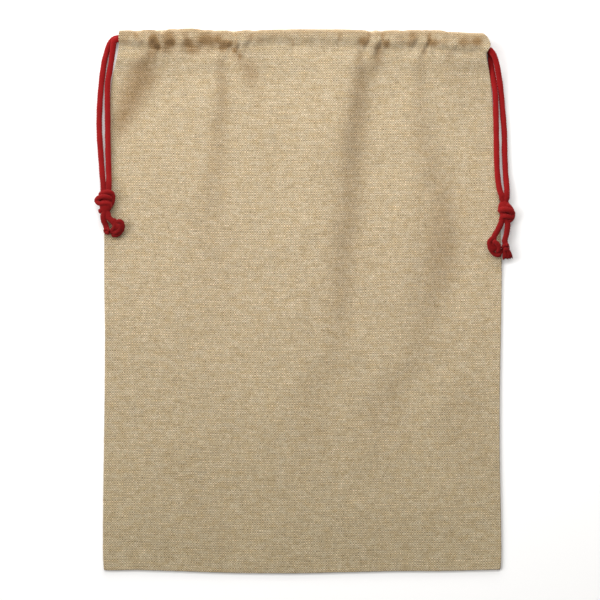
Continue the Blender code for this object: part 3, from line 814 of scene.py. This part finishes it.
def rope(name, route, material, radius, lay=CORD_LAY, sides=24, step=FINE_STEP, phase=0.0,
         lobe=0.05, taper=0.0, flatness=1.0):
    """A twisted cord of three plies along a route, as a closed mesh tube."""
    path = through(route, step)
    tangents = unit(np.gradient(path, axis=0))
    side = unit(np.cross(tangents[0], (0.31, 0.17, 0.93)))
    angles = np.linspace(0, 2 * math.pi, sides, endpoint=False)
    rings = []
    uvs = []
    for place, tangent, run in zip(path, tangents, lengths_along(path)):
        side = unit(side - tangent * np.dot(side, tangent))
        other = np.cross(tangent, side)
        turn = 2 * math.pi * run / lay + phase
        ply = np.abs(np.cos(PLIES / 2 * (angles - turn))) ** PLY_ROUND
        yarn = np.cos(YARNS * angles + YARN_LEAD * turn)
        uneven = sum(wave.share * math.sin(run * wave.per_metre + phase * wave.lead) for wave in UNEVEN)
        lobes = 1 - lobe * PLY_GROOVE * (1 - ply) + YARN_RISE * yarn + lobe * PLY_SWELL
        end = min(run, (len(path) - 1) * step - run) / radius
        size = radius * (1 + uneven) * lobes * (1 - taper * max(0.0, 1 - end) ** 2)
        ring = np.outer(size * np.cos(angles), side) + np.outer(size * np.sin(angles), other)
        ring[:, 2] *= flatness
        rings.append(ring + place)
        uvs.append([(radius * angle, run) for angle in angles])
    return ringed_piece(name, rings, uvs, material), path


def at_knot(knot, ahead=0.0, aside=0.0, above=0.0):
    """Places so far along a knot's axis, beside it and above it."""
    along = unit(np.array((*knot.along, 0.0)))
    across = np.array((-along[1], along[0], 0.0))
    shift = np.multiply.outer(ahead, along) + np.multiply.outer(aside, across)
    return np.array(knot.centre) + shift + np.multiply.outer(above, (0.0, 0.0, 1.0))


def knot_lead(knot, end, offset):
    """The last points of a cord that meets a knot's face squarely, nearest last."""
    return [at_knot(knot, end * (knot.half_long + GAP + i * KNOT_LEAD), offset) for i in (2, 1, 0)]


Cord = namedtuple("Cord", "name route knot side tail end_knot tail_side length nodes")
CORDS = (
    Cord("left_front_cord", LEFT_FRONT_ROUTE, "left_knot", STRAND_OFFSET,
         LEFT_LONG_TAIL, "left_long_end_knot", STRAND_OFFSET, 0.245,
         ("left_front_strand", "left_long_tail")),
    Cord("left_back_cord", LEFT_BACK_ROUTE, "left_knot", -STRAND_OFFSET,
         LEFT_SHORT_TAIL, "left_short_end_knot", -STRAND_OFFSET, 0.250,
         ("left_back_strand", "left_short_tail")),
    Cord("right_front_cord", RIGHT_FRONT_ROUTE, "right_knot", STRAND_OFFSET,
         RIGHT_SHORT_TAIL, "right_short_end_knot", STRAND_OFFSET, 0.255,
         ("right_front_strand", "right_short_tail")),
    Cord("right_back_cord", RIGHT_BACK_ROUTE, "right_knot", -STRAND_OFFSET,
         RIGHT_LONG_TAIL, "right_long_end_knot", -STRAND_OFFSET, 0.245,
         ("right_back_strand", "right_long_tail")),
)

# Turns of cord that show on the knots: the cord's radius, then places in pixels
# of the view and heights in millimetres
LEFT_KNOT_TURNS = (
    (0.0031, ((100.6, 195.6, 5.0), (101.2, 194.0, 9.0), (103.5, 192.9, 12.0), (107.5, 192.2, 13.2),
              (111.2, 192.9, 12.2), (112.9, 195.2, 10.0), (112.9, 198.8, 8.8), (112.2, 202.6, 8.0),
              (110.4, 205.8, 6.5), (107.8, 207.6, 4.5))),
    (0.0031, ((97.4, 202.6, 7.5), (96.6, 200.4, 9.0), (98.4, 198.2, 11.6), (102.2, 197.0, 13.8),
              (106.4, 196.9, 14.2), (109.6, 197.9, 12.8), (111.0, 199.8, 9.0), (110.4, 201.2, 5.5))),
    (0.0031, ((97.4, 199.6, 8.0), (97.8, 202.4, 10.6), (101.0, 203.8, 12.8), (104.8, 203.4, 13.6),
              (108.2, 203.8, 12.8), (109.8, 206.0, 11.2), (109.6, 209.0, 10.4))),
    (0.0033, ((107.8, 206.4, 6.0), (104.6, 208.4, 9.6), (101.8, 210.2, 9.0), (100.6, 211.0, 7.4),
              (102.4, 211.8, 4.6))),
    (0.0030, ((98.6, 199.2, 7.6), (100.8, 200.8, 8.4), (104.0, 201.2, 9.0))),
)
RIGHT_KNOT_TURNS = (
    (0.0036, ((500.4, 211.5, 4.0), (500.8, 210.0, 8.5), (503.5, 209.6, 11.8), (507.5, 209.9, 12.4),
              (510.8, 211.0, 10.6), (512.4, 213.2, 7.5), (512.4, 215.0, 4.5))),
    (0.0030, ((501.6, 217.5, 4.5), (502.4, 216.5, 8.5), (505.2, 216.3, 11.2), (508.4, 216.8, 11.0),
              (511.2, 217.8, 9.0), (512.2, 219.2, 6.0))),
    (0.0029, ((505.5, 205.5, 9.0), (508.6, 206.2, 10.0), (511.0, 208.8, 9.0), (512.7, 212.6, 8.0),
              (512.9, 216.0, 7.4), (511.3, 219.4, 7.2), (508.4, 221.2, 7.0), (505.4, 220.6, 5.0))),
    (0.0030, ((507.0, 210.8, 7.0), (509.6, 213.6, 6.8), (508.6, 217.4, 6.4))),
)
LEFT_END_TURNS = (
    (0.0029, ((113.0, 219.0, 9.0), (115.3, 222.0, 10.5), (114.5, 227.0, 12.0), (112.0, 231.0, 9.0),
              (110.6, 233.0, 6.0))),
    (0.0030, ((116.5, 222.5, 9.0), (119.5, 221.3, 12.0), (122.0, 223.0, 12.0), (122.6, 226.8, 11.0),
              (121.4, 231.0, 10.0), (118.4, 234.2, 9.0), (114.6, 235.2, 8.0), (111.8, 233.8, 6.5))),
    (0.0028, ((118.0, 224.5, 12.6), (120.0, 227.5, 12.8), (118.8, 231.0, 12.3), (115.6, 232.8, 11.0),
              (112.8, 231.6, 9.0))),
)
RIGHT_END_TURNS = (
    (0.0029, ((495.5, 236.8, 9.0), (491.6, 238.8, 11.6), (489.0, 242.2, 12.4), (489.6, 246.0, 11.6),
              (492.8, 248.4, 10.4), (496.6, 248.0, 8.6))),
    (0.0029, ((492.4, 241.2, 12.0), (495.4, 242.4, 13.2), (498.2, 245.4, 12.4), (498.8, 249.2, 10.4),
              (496.6, 252.4, 8.4))),
    (0.0028, ((490.6, 247.8, 7.6), (491.6, 251.2, 7.8), (494.6, 254.2, 7.4), (498.2, 255.2, 7.0),
              (500.4, 252.6, 6.6), (500.6, 248.8, 6.8))),
)
KNOT_SIDES = 20
KNOT_LAY = 0.0095
END_KNOT_LAY = 0.0090
END_KNOT_STEPS = 24
END_KNOT_CLOSED = 0.985
LOBE_IN = 0.26
LOBE_TALL = 0.95

# The packed inside of a knot: its rings, and the radius that its UVs are for
CORE_RINGS = 12
CORE_UV = 0.006


def core(name, share, thick_share, material):
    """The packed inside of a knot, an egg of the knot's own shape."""
    knot = KNOTS[name]
    lean = math.pi * np.arange(1, CORE_RINGS)[:, None] / CORE_RINGS
    angle = 2 * math.pi * np.arange(KNOT_SIDES)[None, :] / KNOT_SIDES
    ahead = -np.cos(lean) * knot.half_long * share
    aside = np.sin(lean) * np.cos(angle) * knot.half_wide * share
    above = np.sin(lean) * np.sin(angle) * knot.half_thick * thick_share
    uvs = np.stack(np.broadcast_arrays(angle * CORE_UV, lean * CORE_UV), axis=-1)
    return ringed_piece(name + "_core", at_knot(knot, ahead, aside, above), uvs, material)


def traced_knot(name, turns, share, thick_share, material):
    """A knot whose turns of cord lie round a packed core."""
    parts = [core(name, share, thick_share, material)]
    for i, (radius, places) in enumerate(turns):
        route = [at_pixel(*place) for place in places]
        turn, _ = rope(f"{name}_turn_{i}", route, material, radius, KNOT_LAY, KNOT_SIDES,
                       phase=i * 1.3, lobe=0.06, taper=0.5)
        parts.append(turn)
    return join(name + "_turns", parts)


def end_knot(name, material, radius, phase, lean):
    """An overhand knot pulled tight at a cord's end: three lobes round a core."""
    knot = KNOTS[name]
    route = []
    for i in range(END_KNOT_STEPS + 1):
        turn = 2 * math.pi * i / END_KNOT_STEPS * END_KNOT_CLOSED
        out = 1 - LOBE_IN + LOBE_IN * math.cos(3 * turn + phase)
        aside = out * math.cos(2 * turn + lean) * (knot.half_wide - radius)
        ahead = out * math.sin(2 * turn + lean) * (knot.half_long - radius)
        above = LOBE_TALL * math.sin(3 * turn + phase) * (knot.half_thick - radius)
        route.append(at_knot(knot, ahead, aside, above))
    turns, _ = rope(name + "_turns", route, material, radius, END_KNOT_LAY, KNOT_SIDES,
                    phase=phase, lobe=0.10, taper=0.5)
    return join(name + "_turns", [core(name, 0.55, 0.55, material), turns])


knot_pieces = {
    "left_knot": traced_knot("left_knot", LEFT_KNOT_TURNS, 0.72, 0.60, shaded_knot_cotton),
    "right_knot": traced_knot("right_knot", RIGHT_KNOT_TURNS, 0.80, 0.60, shaded_knot_cotton),
    "left_long_end_knot": traced_knot("left_long_end_knot", LEFT_END_TURNS, 0.66, 0.30, shaded_cotton),
    "left_short_end_knot": end_knot("left_short_end_knot", shaded_end_cotton, 0.0020, 0.2, 1.0),
    "right_long_end_knot": traced_knot("right_long_end_knot", RIGHT_END_TURNS, 0.80, 0.34, shaded_end_cotton),
    "right_short_end_knot": end_knot("right_short_end_knot", shaded_end_cotton, 0.0024, 2.2, 0.1),
}
for knot_name, piece in knot_pieces.items():
    ride(piece, "cord", knot_name)

FRAYED_YARNS = 46
FRAYED_LENGTH = 0.0090
FRAYED_SPREAD = 0.0040
FRAYED_OPENING = 0.0026
FRAYED_LEAN = 0.0012
FRAYED_DROOP = 0.0010
FRAYED_WAVE = 0.00035
YARN_RADIUS = 0.00060
GOLDEN_TURN = 2.399963


def frayed_yarns(name, material):
    """The cut end beyond the right short end knot: single yarns that spread."""
    knot = KNOTS["right_short_end_knot"]
    draw = random.Random(41)
    parts = []
    for i in range(FRAYED_YARNS):
        ring = math.sqrt((i + 0.5) / FRAYED_YARNS)
        angle = GOLDEN_TURN * i + draw.uniform(-0.2, 0.2)
        length = knot.half_long * 0.9 + FRAYED_LENGTH + draw.uniform(-0.0028, 0.0006)
        route = []
        for t in (0.0, 0.25, 0.5, 0.75, 1.0):
            out = ring * (FRAYED_SPREAD + FRAYED_OPENING * t)
            wave = FRAYED_WAVE * math.sin(6 * t + i)
            ahead = knot.half_long * 0.1 + length * t
            aside = out * math.cos(angle) + wave + FRAYED_LEAN * t
            above = out * math.sin(angle) * 0.9 * (1 - 0.45 * t) - FRAYED_DROOP * t
            route.append(at_knot(knot, ahead, aside, above))
        yarn, _ = rope(f"{name}_{i}", route, material, YARN_RADIUS, lay=0.0030, sides=6, step=0.0012,
                       phase=i, lobe=0.08, taper=0.4)
        parts.append(yarn)
    return join(name, parts)


frayed = ride(frayed_yarns("frayed_yarns", shaded_knot_cotton), "cord", "right_frayed_end")

for index, cord in enumerate(CORDS):
    main = KNOTS[cord.knot]
    end = KNOTS[cord.end_knot]
    lead_in = knot_lead(main, -1, cord.side)
    lead_out = knot_lead(main, 1, cord.tail_side)[::-1]
    lead_end = knot_lead(end, -1, 0.0)
    middle = at_knot(main, above=-KNOT_SAG)
    route = [*cord.route, *lead_in, middle, *lead_out, *cord.tail, *lead_end, end.centre]
    piece, path = rope(cord.name, route, red_cotton, CORD_RADIUS * CORD_FULLNESS, phase=index * 0.9,
                       flatness=CORD_FLATNESS)
    ride(piece, "cord", *cord.nodes)

# ---------------------------------------------------------------- cloth
# How boldly the folds and hollows of the tables are taken, in relief and in painted shade
DEEPEST_CREASE = 0.0034
FOLD_RISE = 1.34
FOLD_WIDE = 1.12
FOLD_SHADE = 0.42
EDGE_SHADE = 0.46
HOLLOW_DARK = 1.22
HOLLOW_TALL = 1.22
CREASE_SINK = 0.75
CREASE_AT_TOP = 0.10
CREASE_FROM = 0.42
CREASE_OVER = 0.36
EDGE_SHADE_IN = 0.003
EDGE_SHADE_FADE = 0.008
HOLLOW_ROUND = 1.4
SLOPE_ROUND = 1.5
BOTTOM_FADE = 0.050

# Unevenness of the front's cloth, of its casing, and of the back's cloth
BROAD_WAVES = Waves(5, 0.085, 0.00025)
FINE_WAVES = Waves(9, 0.034, 0.00010)
CASING_LUMPS = Waves(13, 0.016, 0.00025)
PUFF_WAVES = Waves(3, 0.030, 0.0004)
BACK_WAVES = Waves(21, 0.110, 0.0008)

# How far in from the sides and the ends the back's waves begin, and how softly
BACK_FLAT_SIDE = 0.03
BACK_FLAT_END = 0.05
BACK_FADE = 0.05
BACK_BOTTOM_FADE = 0.06

# The sheets' grids: columns and rows of each, rows close to the bottom edge,
# how far the rest is even and not crowded to the mouth, how far the columns
# crowd to the sides, and the steps of the casing's section
FRONT_GRID = ((384, 84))
BACK_GRID = (90, 90)
BOTTOM_ROWS = (0.0, 0.0013, 0.0036)
EVEN_ROWS = 0.30
EDGE_CROWDING = 0.2
SLOPE_STEPS = 18
ARC_STEPS = 12
INNER_STEPS = 4
LIP = 0.006


def side_distance(x, from_mouth):
    """Distance in from the nearer side edge."""
    to_left = x + read(OUTLINE, "left", from_mouth)
    to_right = read(OUTLINE, "right", from_mouth) - x
    return np.minimum(to_left, to_right)


def at_fold(fold, x, from_mouth):
    """A fold's depth and half width, and how many half widths off its line a place is."""
    width = FOLD_WIDE * read(fold, "half_width", from_mouth)
    return read(fold, "depth", from_mouth), width, (x - read(fold, "x", from_mouth)) / width


def fold_relief(x, from_mouth):
    """Height that the long folds add: a step down and a slow rise on each side."""
    relief = np.zeros_like(x)
    for fold in FOLDS:
        depth, _, across = at_fold(fold, x, from_mouth)
        relief += FOLD_RISE * depth * 0.5 * (np.tanh(across / 4) - np.tanh(across))
    return relief


def swell_relief(x, from_mouth):
    """Height that the low swells add."""
    relief = np.zeros_like(x)
    for swell in SWELLS:
        turn = math.radians(swell.turn)
        right = x - swell.x
        down = from_mouth - swell.from_mouth
        across = (right * math.cos(turn) + down * math.sin(turn)) / swell.half_wide
        along = (down * math.cos(turn) - right * math.sin(turn)) / swell.half_long
        relief += swell.height * np.exp(-across ** 2 - along ** 2)
    return relief


def crease_relief(x, from_mouth, stitch):
    """How deep the casing's creases are at a place, running on below it."""
    relief = np.zeros_like(x)
    down = from_mouth / stitch
    deepening = CREASE_AT_TOP + (1 - CREASE_AT_TOP) * smooth((down - CREASE_FROM) / CREASE_OVER)
    for crease in CREASES:
        centre = crease.x_top + (crease.x_stitch - crease.x_top) * down
        below = np.maximum(0.0, from_mouth - stitch) / crease.run_on
        width = crease.half_width * (1 + 0.5 * np.minimum(1.5, below))
        relief += crease.depth * deepening * np.exp(-below ** 2) * mound(x, centre, width)
    return DEEPEST_CREASE * np.tanh(relief / DEEPEST_CREASE)


def crease_dip(x):
    """How far the casing's creases and the notches lower the top edge."""
    dip = np.zeros_like(x)
    for crease in CREASES:
        dip += crease.dip * mound(x, crease.x_top, crease.half_width * 1.2)
    for notch in NOTCHES:
        dip += notch.depth * mound(x, notch.x, notch.half_width)
    return dip


def crease_shade(x, y, from_mouth):
    """Painted shade of a place: in a fold, in a gather or along the top edge, from 0 to 2."""
    px = PIXEL_X + x / PIXEL
    py = PIXEL_Y - y / PIXEL
    shade = EDGE_SHADE * (1 - smooth((from_mouth - EDGE_SHADE_IN) / EDGE_SHADE_FADE))
    for hollow in PAINTED_HOLLOW_SHADE:
        right = (px - hollow.px) / hollow.half_wide
        down = (py - hollow.py) / (HOLLOW_TALL * hollow.half_high)
        shade = shade + HOLLOW_DARK * hollow.dark * np.exp(-(right ** 2 + down ** 2) ** HOLLOW_ROUND)
    for fold in FOLDS:
        depth, width, across = at_fold(fold, x, from_mouth)
        shade = shade + FOLD_SHADE * depth / width / np.cosh(np.clip(across, -8, 8)) ** 2
    return np.clip(shade, 0.0, 2.0)


def front_height(x, from_mouth):
    """Height of the middle of the front panel's cloth, without its creases."""
    rim = read(SECTIONS, "front_rim", from_mouth)
    crown = read(SECTIONS, "crown", from_mouth)
    inward = np.clip(side_distance(x, from_mouth) / SLOPE_WIDTH, 0.0, 1.0)
    rise = 1 - (1 - inward) ** SLOPE_ROUND
    bottom_fade = smooth((SACK_LENGTH - from_mouth) / BOTTOM_FADE)
    room = np.minimum(1.0, 3 * rise) * bottom_fade
    waves = ripple(x, from_mouth, BROAD_WAVES) + ripple(x, from_mouth, FINE_WAVES)
    relief = fold_relief(x, from_mouth) + swell_relief(x, from_mouth) + waves
    return rim + (crown - rim) * rise + relief * room


def back_height(x, from_mouth):
    """Height of the middle of the back panel's cloth, which lifts at its rims."""
    rim = read(SECTIONS, "back_rim", from_mouth)
    in_from_side = side_distance(x, from_mouth)
    rise = smooth(in_from_side / BACK_RIM_WIDTH)
    inside = smooth((in_from_side - BACK_FLAT_SIDE) / BACK_FADE)
    inside = inside * smooth((from_mouth - BACK_FLAT_END) / BACK_FADE)
    inside = inside * smooth((SACK_LENGTH - BACK_FLAT_END - from_mouth) / BACK_BOTTOM_FADE)
    waves = np.maximum(0.0, ripple(x, from_mouth, BACK_WAVES)) * inside
    return rim + (BACK_REST - rim) * rise + waves


def place_y(x, from_mouth, dip):
    """Y of a point of the cloth, with the drooping mouth and the bowed bottom."""
    drop = (read(MOUTH_EDGE, "drop", x) + dip) * (1 - smooth(from_mouth / MOUTH_EDGE_REACH))
    bow = BOTTOM_BOW * (2 * x / SACK_WIDTH) ** 2 * smooth(from_mouth / SACK_LENGTH)
    sag = read(HEM, "drop", x) * from_mouth / SACK_LENGTH
    return TOP_Y - from_mouth - drop + bow - sag


def casing_steps(x, stitch, puff, outer):
    """The casing's section as (from mouth, half height, side) steps, in order.

    The outer layer leaves the stitches flat, rises over the cord and turns over
    the top edge; the inner layer comes back down to the stitches.
    """
    outer_half = CASING_HALF_HEIGHT + puff
    centre = CLOTH / 2 + CASING_HALF_HEIGHT
    slope = CASING_SLOPE - STEEP_SLOPE * smooth((stitch - STEEP_STITCH) / 0.0010)
    slope = slope + EASY_SLOPE * smooth((EASY_REACH - np.abs(x - EASY_MIDDLE)) / EASY_FADE)
    steps = []
    for i in range(1, SLOPE_STEPS):
        t = i / SLOPE_STEPS
        place = stitch * (1 - t) + centre * t
        rise = smooth((stitch - place) / slope)
        steps.append((place, PINCH + (outer_half - PINCH) * rise, outer))
    for i in range(ARC_STEPS + 1):
        angle = math.pi * (0.5 - i / ARC_STEPS)
        half = outer_half if angle > 0 else CASING_HALF_HEIGHT
        steps.append((centre - CASING_HALF_HEIGHT * math.cos(angle), half, outer * math.sin(angle)))
    for i in range(INNER_STEPS, -1, -1):
        t = i / INNER_STEPS
        half = PINCH + (CASING_HALF_HEIGHT - PINCH) * smooth(t)
        steps.append((stitch - CASING_TAPER * t, half, -outer))
    return steps


def panel_grid(columns, rows, height, outer):
    """Rows of points along the middle of a panel's cloth, bottom edge first."""
    even = np.linspace(0.0, 1.0, columns)
    across = even + EDGE_CROWDING * ((1 - np.cos(math.pi * even)) / 2 - even)

    def x_at(from_mouth):
        left = read(OUTLINE, "left", from_mouth)
        return across * (left + read(OUTLINE, "right", from_mouth)) - left

    def add_row(from_mouth, z):
        x = x_at(from_mouth)
        y = place_y(x, from_mouth, dip)
        shades.append(crease_shade(x, y, from_mouth) if is_front else 0 * x)
        grid.append(np.stack([x, y, z + 0 * x], axis=-1))

    grid = []
    shades = []
    is_front = outer > 0
    x_casing = x_at(CASING_TAPER)
    stitch = read(MOUTH_EDGE, "stitch", x_casing)
    dip = crease_dip(x_casing) * is_front
    puff = (CASING_PUFF + ripple(x_casing, 0 * x_casing, PUFF_WAVES)) * is_front
    even_down = 1 - np.arange(1, rows) / (rows - 1)
    crowded_down = EVEN_ROWS * even_down + (1 - EVEN_ROWS) * even_down ** 2
    for down in (*(1 - np.array(BOTTOM_ROWS) / SACK_LENGTH), *crowded_down):
        from_mouth = stitch + (SACK_LENGTH - stitch) * down
        x = x_at(from_mouth)
        sunk = CREASE_SINK * crease_relief(x, from_mouth, stitch) if is_front else 0.0
        add_row(from_mouth, height(x, from_mouth) - sunk)
    x = x_at(stitch)
    at_stitches = height(x, stitch)
    groove = CREASE_SINK * crease_relief(x, stitch, stitch) if is_front else 0.0
    for from_mouth, half, side in casing_steps(x_casing, stitch, puff, outer):
        middle = at_stitches - PINCH if is_front else BACK_REST + half
        z = middle + side * half
        if is_front:
            x = x_at(from_mouth)
            open_share = smooth((stitch - from_mouth) / CASING_TAPER)
            relief = crease_relief(x, from_mouth, stitch) * max(0.0, side)
            lump = ripple(x, from_mouth, CASING_LUMPS) * open_share * max(0.0, side)
            z = z - relief * open_share - groove * (1 - open_share) + lump
        add_row(from_mouth, z)
    lip = stitch + LIP
    add_row(lip, height(x_at(lip), lip) - 2 * outer * PINCH - groove)
    return np.array(grid), np.array(shades)


def cloth_sheet(name, grid, shades, outer, material):
    """A closed sheet of the cloth's thickness, with the flat cloth as its UVs."""
    normals = unit(np.cross(np.gradient(grid, axis=1), np.gradient(grid, axis=0)) * outer)
    rows, columns = grid.shape[:2]
    steps = np.linalg.norm(np.diff(grid, axis=0), axis=2)
    runs = np.concatenate([np.zeros((1, columns)), np.cumsum(steps, axis=0)])
    flat = np.stack([grid[:, :, 0] + 0.3, runs], axis=-1)
    layers = [grid + outer * normals * CLOTH / 2, grid - outer * normals * CLOTH / 2]
    points = np.concatenate([layer.reshape(-1, 3) for layer in layers])
    uvs = np.concatenate([flat.reshape(-1, 2)] * 2)
    number = np.arange(rows * columns).reshape(rows, columns)
    under = number + rows * columns
    patches = (
        (number[:-1, :-1], number[:-1, 1:], number[1:, 1:], number[1:, :-1]),
        (under[:-1, :-1], under[1:, :-1], under[1:, 1:], under[:-1, 1:]),
        (under[:-1, 0], number[:-1, 0], number[1:, 0], under[1:, 0]),
        (number[:-1, -1], under[:-1, -1], under[1:, -1], number[1:, -1]),
        (number[0, :-1], under[0, :-1], under[0, 1:], number[0, 1:]),
        (under[-1, :-1], number[-1, :-1], number[-1, 1:], under[-1, 1:]),
    )
    faces = []
    for corners in patches:
        faces.extend(np.stack(corners[::outer], axis=-1).reshape(-1, 4).tolist())
    sheet = mesh_piece(name, points, faces, uvs, material)
    # Painted shade of the folds, the gathers and the top edge, kept on the points as the crease
    # attribute
    crease = sheet.data.attributes.new("crease", "FLOAT", "POINT")
    crease.data.foreach_set("value", np.concatenate([shades.ravel()] * 2).astype(np.float32))
    return sheet


front = cloth_sheet("front_cloth", *panel_grid(*FRONT_GRID, front_height, 1), 1, front_weave)
back = cloth_sheet("back_cloth", *panel_grid(*BACK_GRID, back_height, -1), -1, back_weave)
ride(front, "cloth", "front_panel")
ride(back, "cloth", "back_panel")

# The turned edge of the seams: how far in its middle lies, its half sizes, its
# height where the panels meet, and how much it grows for each metre above that
EDGE_IN = 0.0011
EDGE_HALF_WIDE = 0.0013
EDGE_HALF_TALL = 0.00145
EDGE_SIDES = 12
EDGE_MIDDLE = (BACK_REST + FRONT_REST) / 2
EDGE_PLACES = (*np.linspace(0.036, 0.11, 14), *np.linspace(0.13, SACK_LENGTH - 0.003, 26))
EDGE_BOTTOM = np.linspace(-0.247, 0.247, 40)
EDGE_STEP = 0.0016
EDGE_GROWS = 0.12


def edge_route(side):
    """Middle line of the turned edge along one side, from the mouth down."""
    places = []
    for from_mouth in EDGE_PLACES:
        half = read(OUTLINE, "left" if side < 0 else "right", from_mouth)
        x = side * (half - EDGE_IN)
        low = read(SECTIONS, "back_rim", from_mouth)
        high = read(SECTIONS, "front_rim", from_mouth)
        places.append((x, place_y(x, from_mouth, 0.0), (low + high) / 2))
    return places


def turned_edge():
    """The turned edge of the seam down both sides and along the bottom."""
    bottom = [(x, place_y(x, SACK_LENGTH, 0.0) + EDGE_IN, EDGE_MIDDLE) for x in EDGE_BOTTOM]
    path = through([*edge_route(-1), *bottom, *edge_route(1)[::-1]], EDGE_STEP)
    angles = 2 * math.pi * np.arange(EDGE_SIDES) / EDGE_SIDES
    tangents = unit(np.gradient(path, axis=0))
    rings = []
    uvs = []
    for place, tangent, run in zip(path, tangents, lengths_along(path)):
        out = unit(np.cross(tangent, (0.0, 0.0, 1.0)))
        up = np.cross(out, tangent)
        wide = EDGE_HALF_WIDE * (1 + 0.08 * math.sin(run * 420) + 0.06 * math.sin(run * 173))
        tall = EDGE_HALF_TALL + EDGE_GROWS * max(0.0, place[2] - EDGE_MIDDLE)
        rings.append(place + np.outer(np.cos(angles) * wide, out) + np.outer(np.sin(angles) * tall, up))
        uvs.append([(j / EDGE_SIDES * 0.008 + 0.9, run) for j in range(EDGE_SIDES)])
    return ringed_piece("turned_edge", rings, uvs, seam_weave)


edge = ride(turned_edge(), "cloth")

STITCH_STEP = 0.0036
STITCH_LENGTH = 0.0027
STITCH_RADIUS = 0.00032


def stitch_row(name, height_at, lift):
    """Machine stitches along the foot of a casing."""
    parts = []
    for index, x in enumerate(np.arange(-0.2270, 0.2300, STITCH_STEP)):
        route = []
        for t in (0.0, 0.25, 0.5, 0.75, 1.0):
            spot = x + STITCH_LENGTH * (t - 0.5)
            stitch = read(MOUTH_EDGE, "stitch", spot)
            z = height_at(spot, stitch) + lift * (math.sin(math.pi * t) - 0.35)
            route.append((spot, place_y(spot, stitch, 0.0), z))
        thread, _ = rope(f"{name}_{index}", route, sewing_thread, STITCH_RADIUS, lay=0.0016, sides=6,
                         step=0.0005, phase=index, lobe=0.06, taper=0.6)
        parts.append(thread)
    return join(name, parts)


def front_stitch_height(x, stitch):
    """Height of the front panel's outer face along its stitches."""
    return front_height(x, stitch) - crease_relief(x, stitch, stitch) * CREASE_SINK + CLOTH / 2


def back_stitch_height(x, stitch):
    """Height of the back panel's outer face, which lies on the surface."""
    return 0.00005


stitches = ride(stitch_row("front_stitches", front_stitch_height, 0.00035), "cloth")
back_stitches = ride(stitch_row("back_stitches", back_stitch_height, -0.00012), "cloth")

for name in ("front_cord", "back_cord"):
    for material_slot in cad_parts[name].material_slots:
        material_slot.material = red_cotton

# ---------------------------------------------------------------- stage
FLOOR_HALF = 6.0
FLOOR_Z = -0.0002
LIGHTS = table(
    "name place target wide tall power",
    ("key", (-7.4, 1.8, 4.9), (0.0, 0.0, 0.0), 5.5, 5.5, 830.0),
    ("mouth_strip", (0.0, 0.8, 1.1), (0.0, 0.0, 0.0), 1.6, 0.3, 13.3),
    ("mouth_light", (0.0, 2.2, 0.75), (0.0, -0.1, 0.0), 2.4, 0.9, 44.0),
)

floor_data = bpy.data.meshes.new("floor")
corners = [(x * FLOOR_HALF, y * FLOOR_HALF, FLOOR_Z) for x, y in ((-1, -1), (1, -1), (1, 1), (-1, 1))]
floor_data.from_pydata(corners, [], [(0, 1, 2, 3)])
floor = bpy.data.objects.new("floor", floor_data)
bpy.context.collection.objects.link(floor)
floor_material = bpy.data.materials.new("floor_white")
floor_material.use_nodes = True
set_inputs(floor_material.node_tree.nodes["Principled BSDF"], Base_Color=(0.80, 0.80, 0.80, 1.0),
           Roughness=0.9, Specular_IOR_Level=0.0, Emission_Color=(1.0, 1.0, 1.0, 1.0),
           Emission_Strength=0.08)
floor_data.materials.append(floor_material)

world = bpy.data.worlds.new("world")
world.use_nodes = True
set_inputs(world.node_tree.nodes["Background"], Color=(1.0, 0.94, 0.86, 1.0), Strength=0.235)
bpy.context.scene.world = world


def area_light(name, place, target, wide, tall, power):
    """A rectangular soft light that faces a point."""
    data = bpy.data.lights.new(name, "AREA")
    data.shape = "RECTANGLE"
    data.size = wide
    data.size_y = tall
    data.energy = power
    item = bpy.data.objects.new(name, data)
    item.location = place
    item.rotation_euler = (Vector(target) - Vector(place)).to_track_quat("-Z", "Y").to_euler()
    bpy.context.collection.objects.link(item)


for light in LIGHTS:
    area_light(*light)

bpy.context.scene.view_settings.view_transform = "Standard"
bpy.context.scene.view_settings.look = "None"
bpy.context.scene.view_settings.exposure = 0.0
bpy.context.scene.cycles.denoising_prefilter = "NONE"
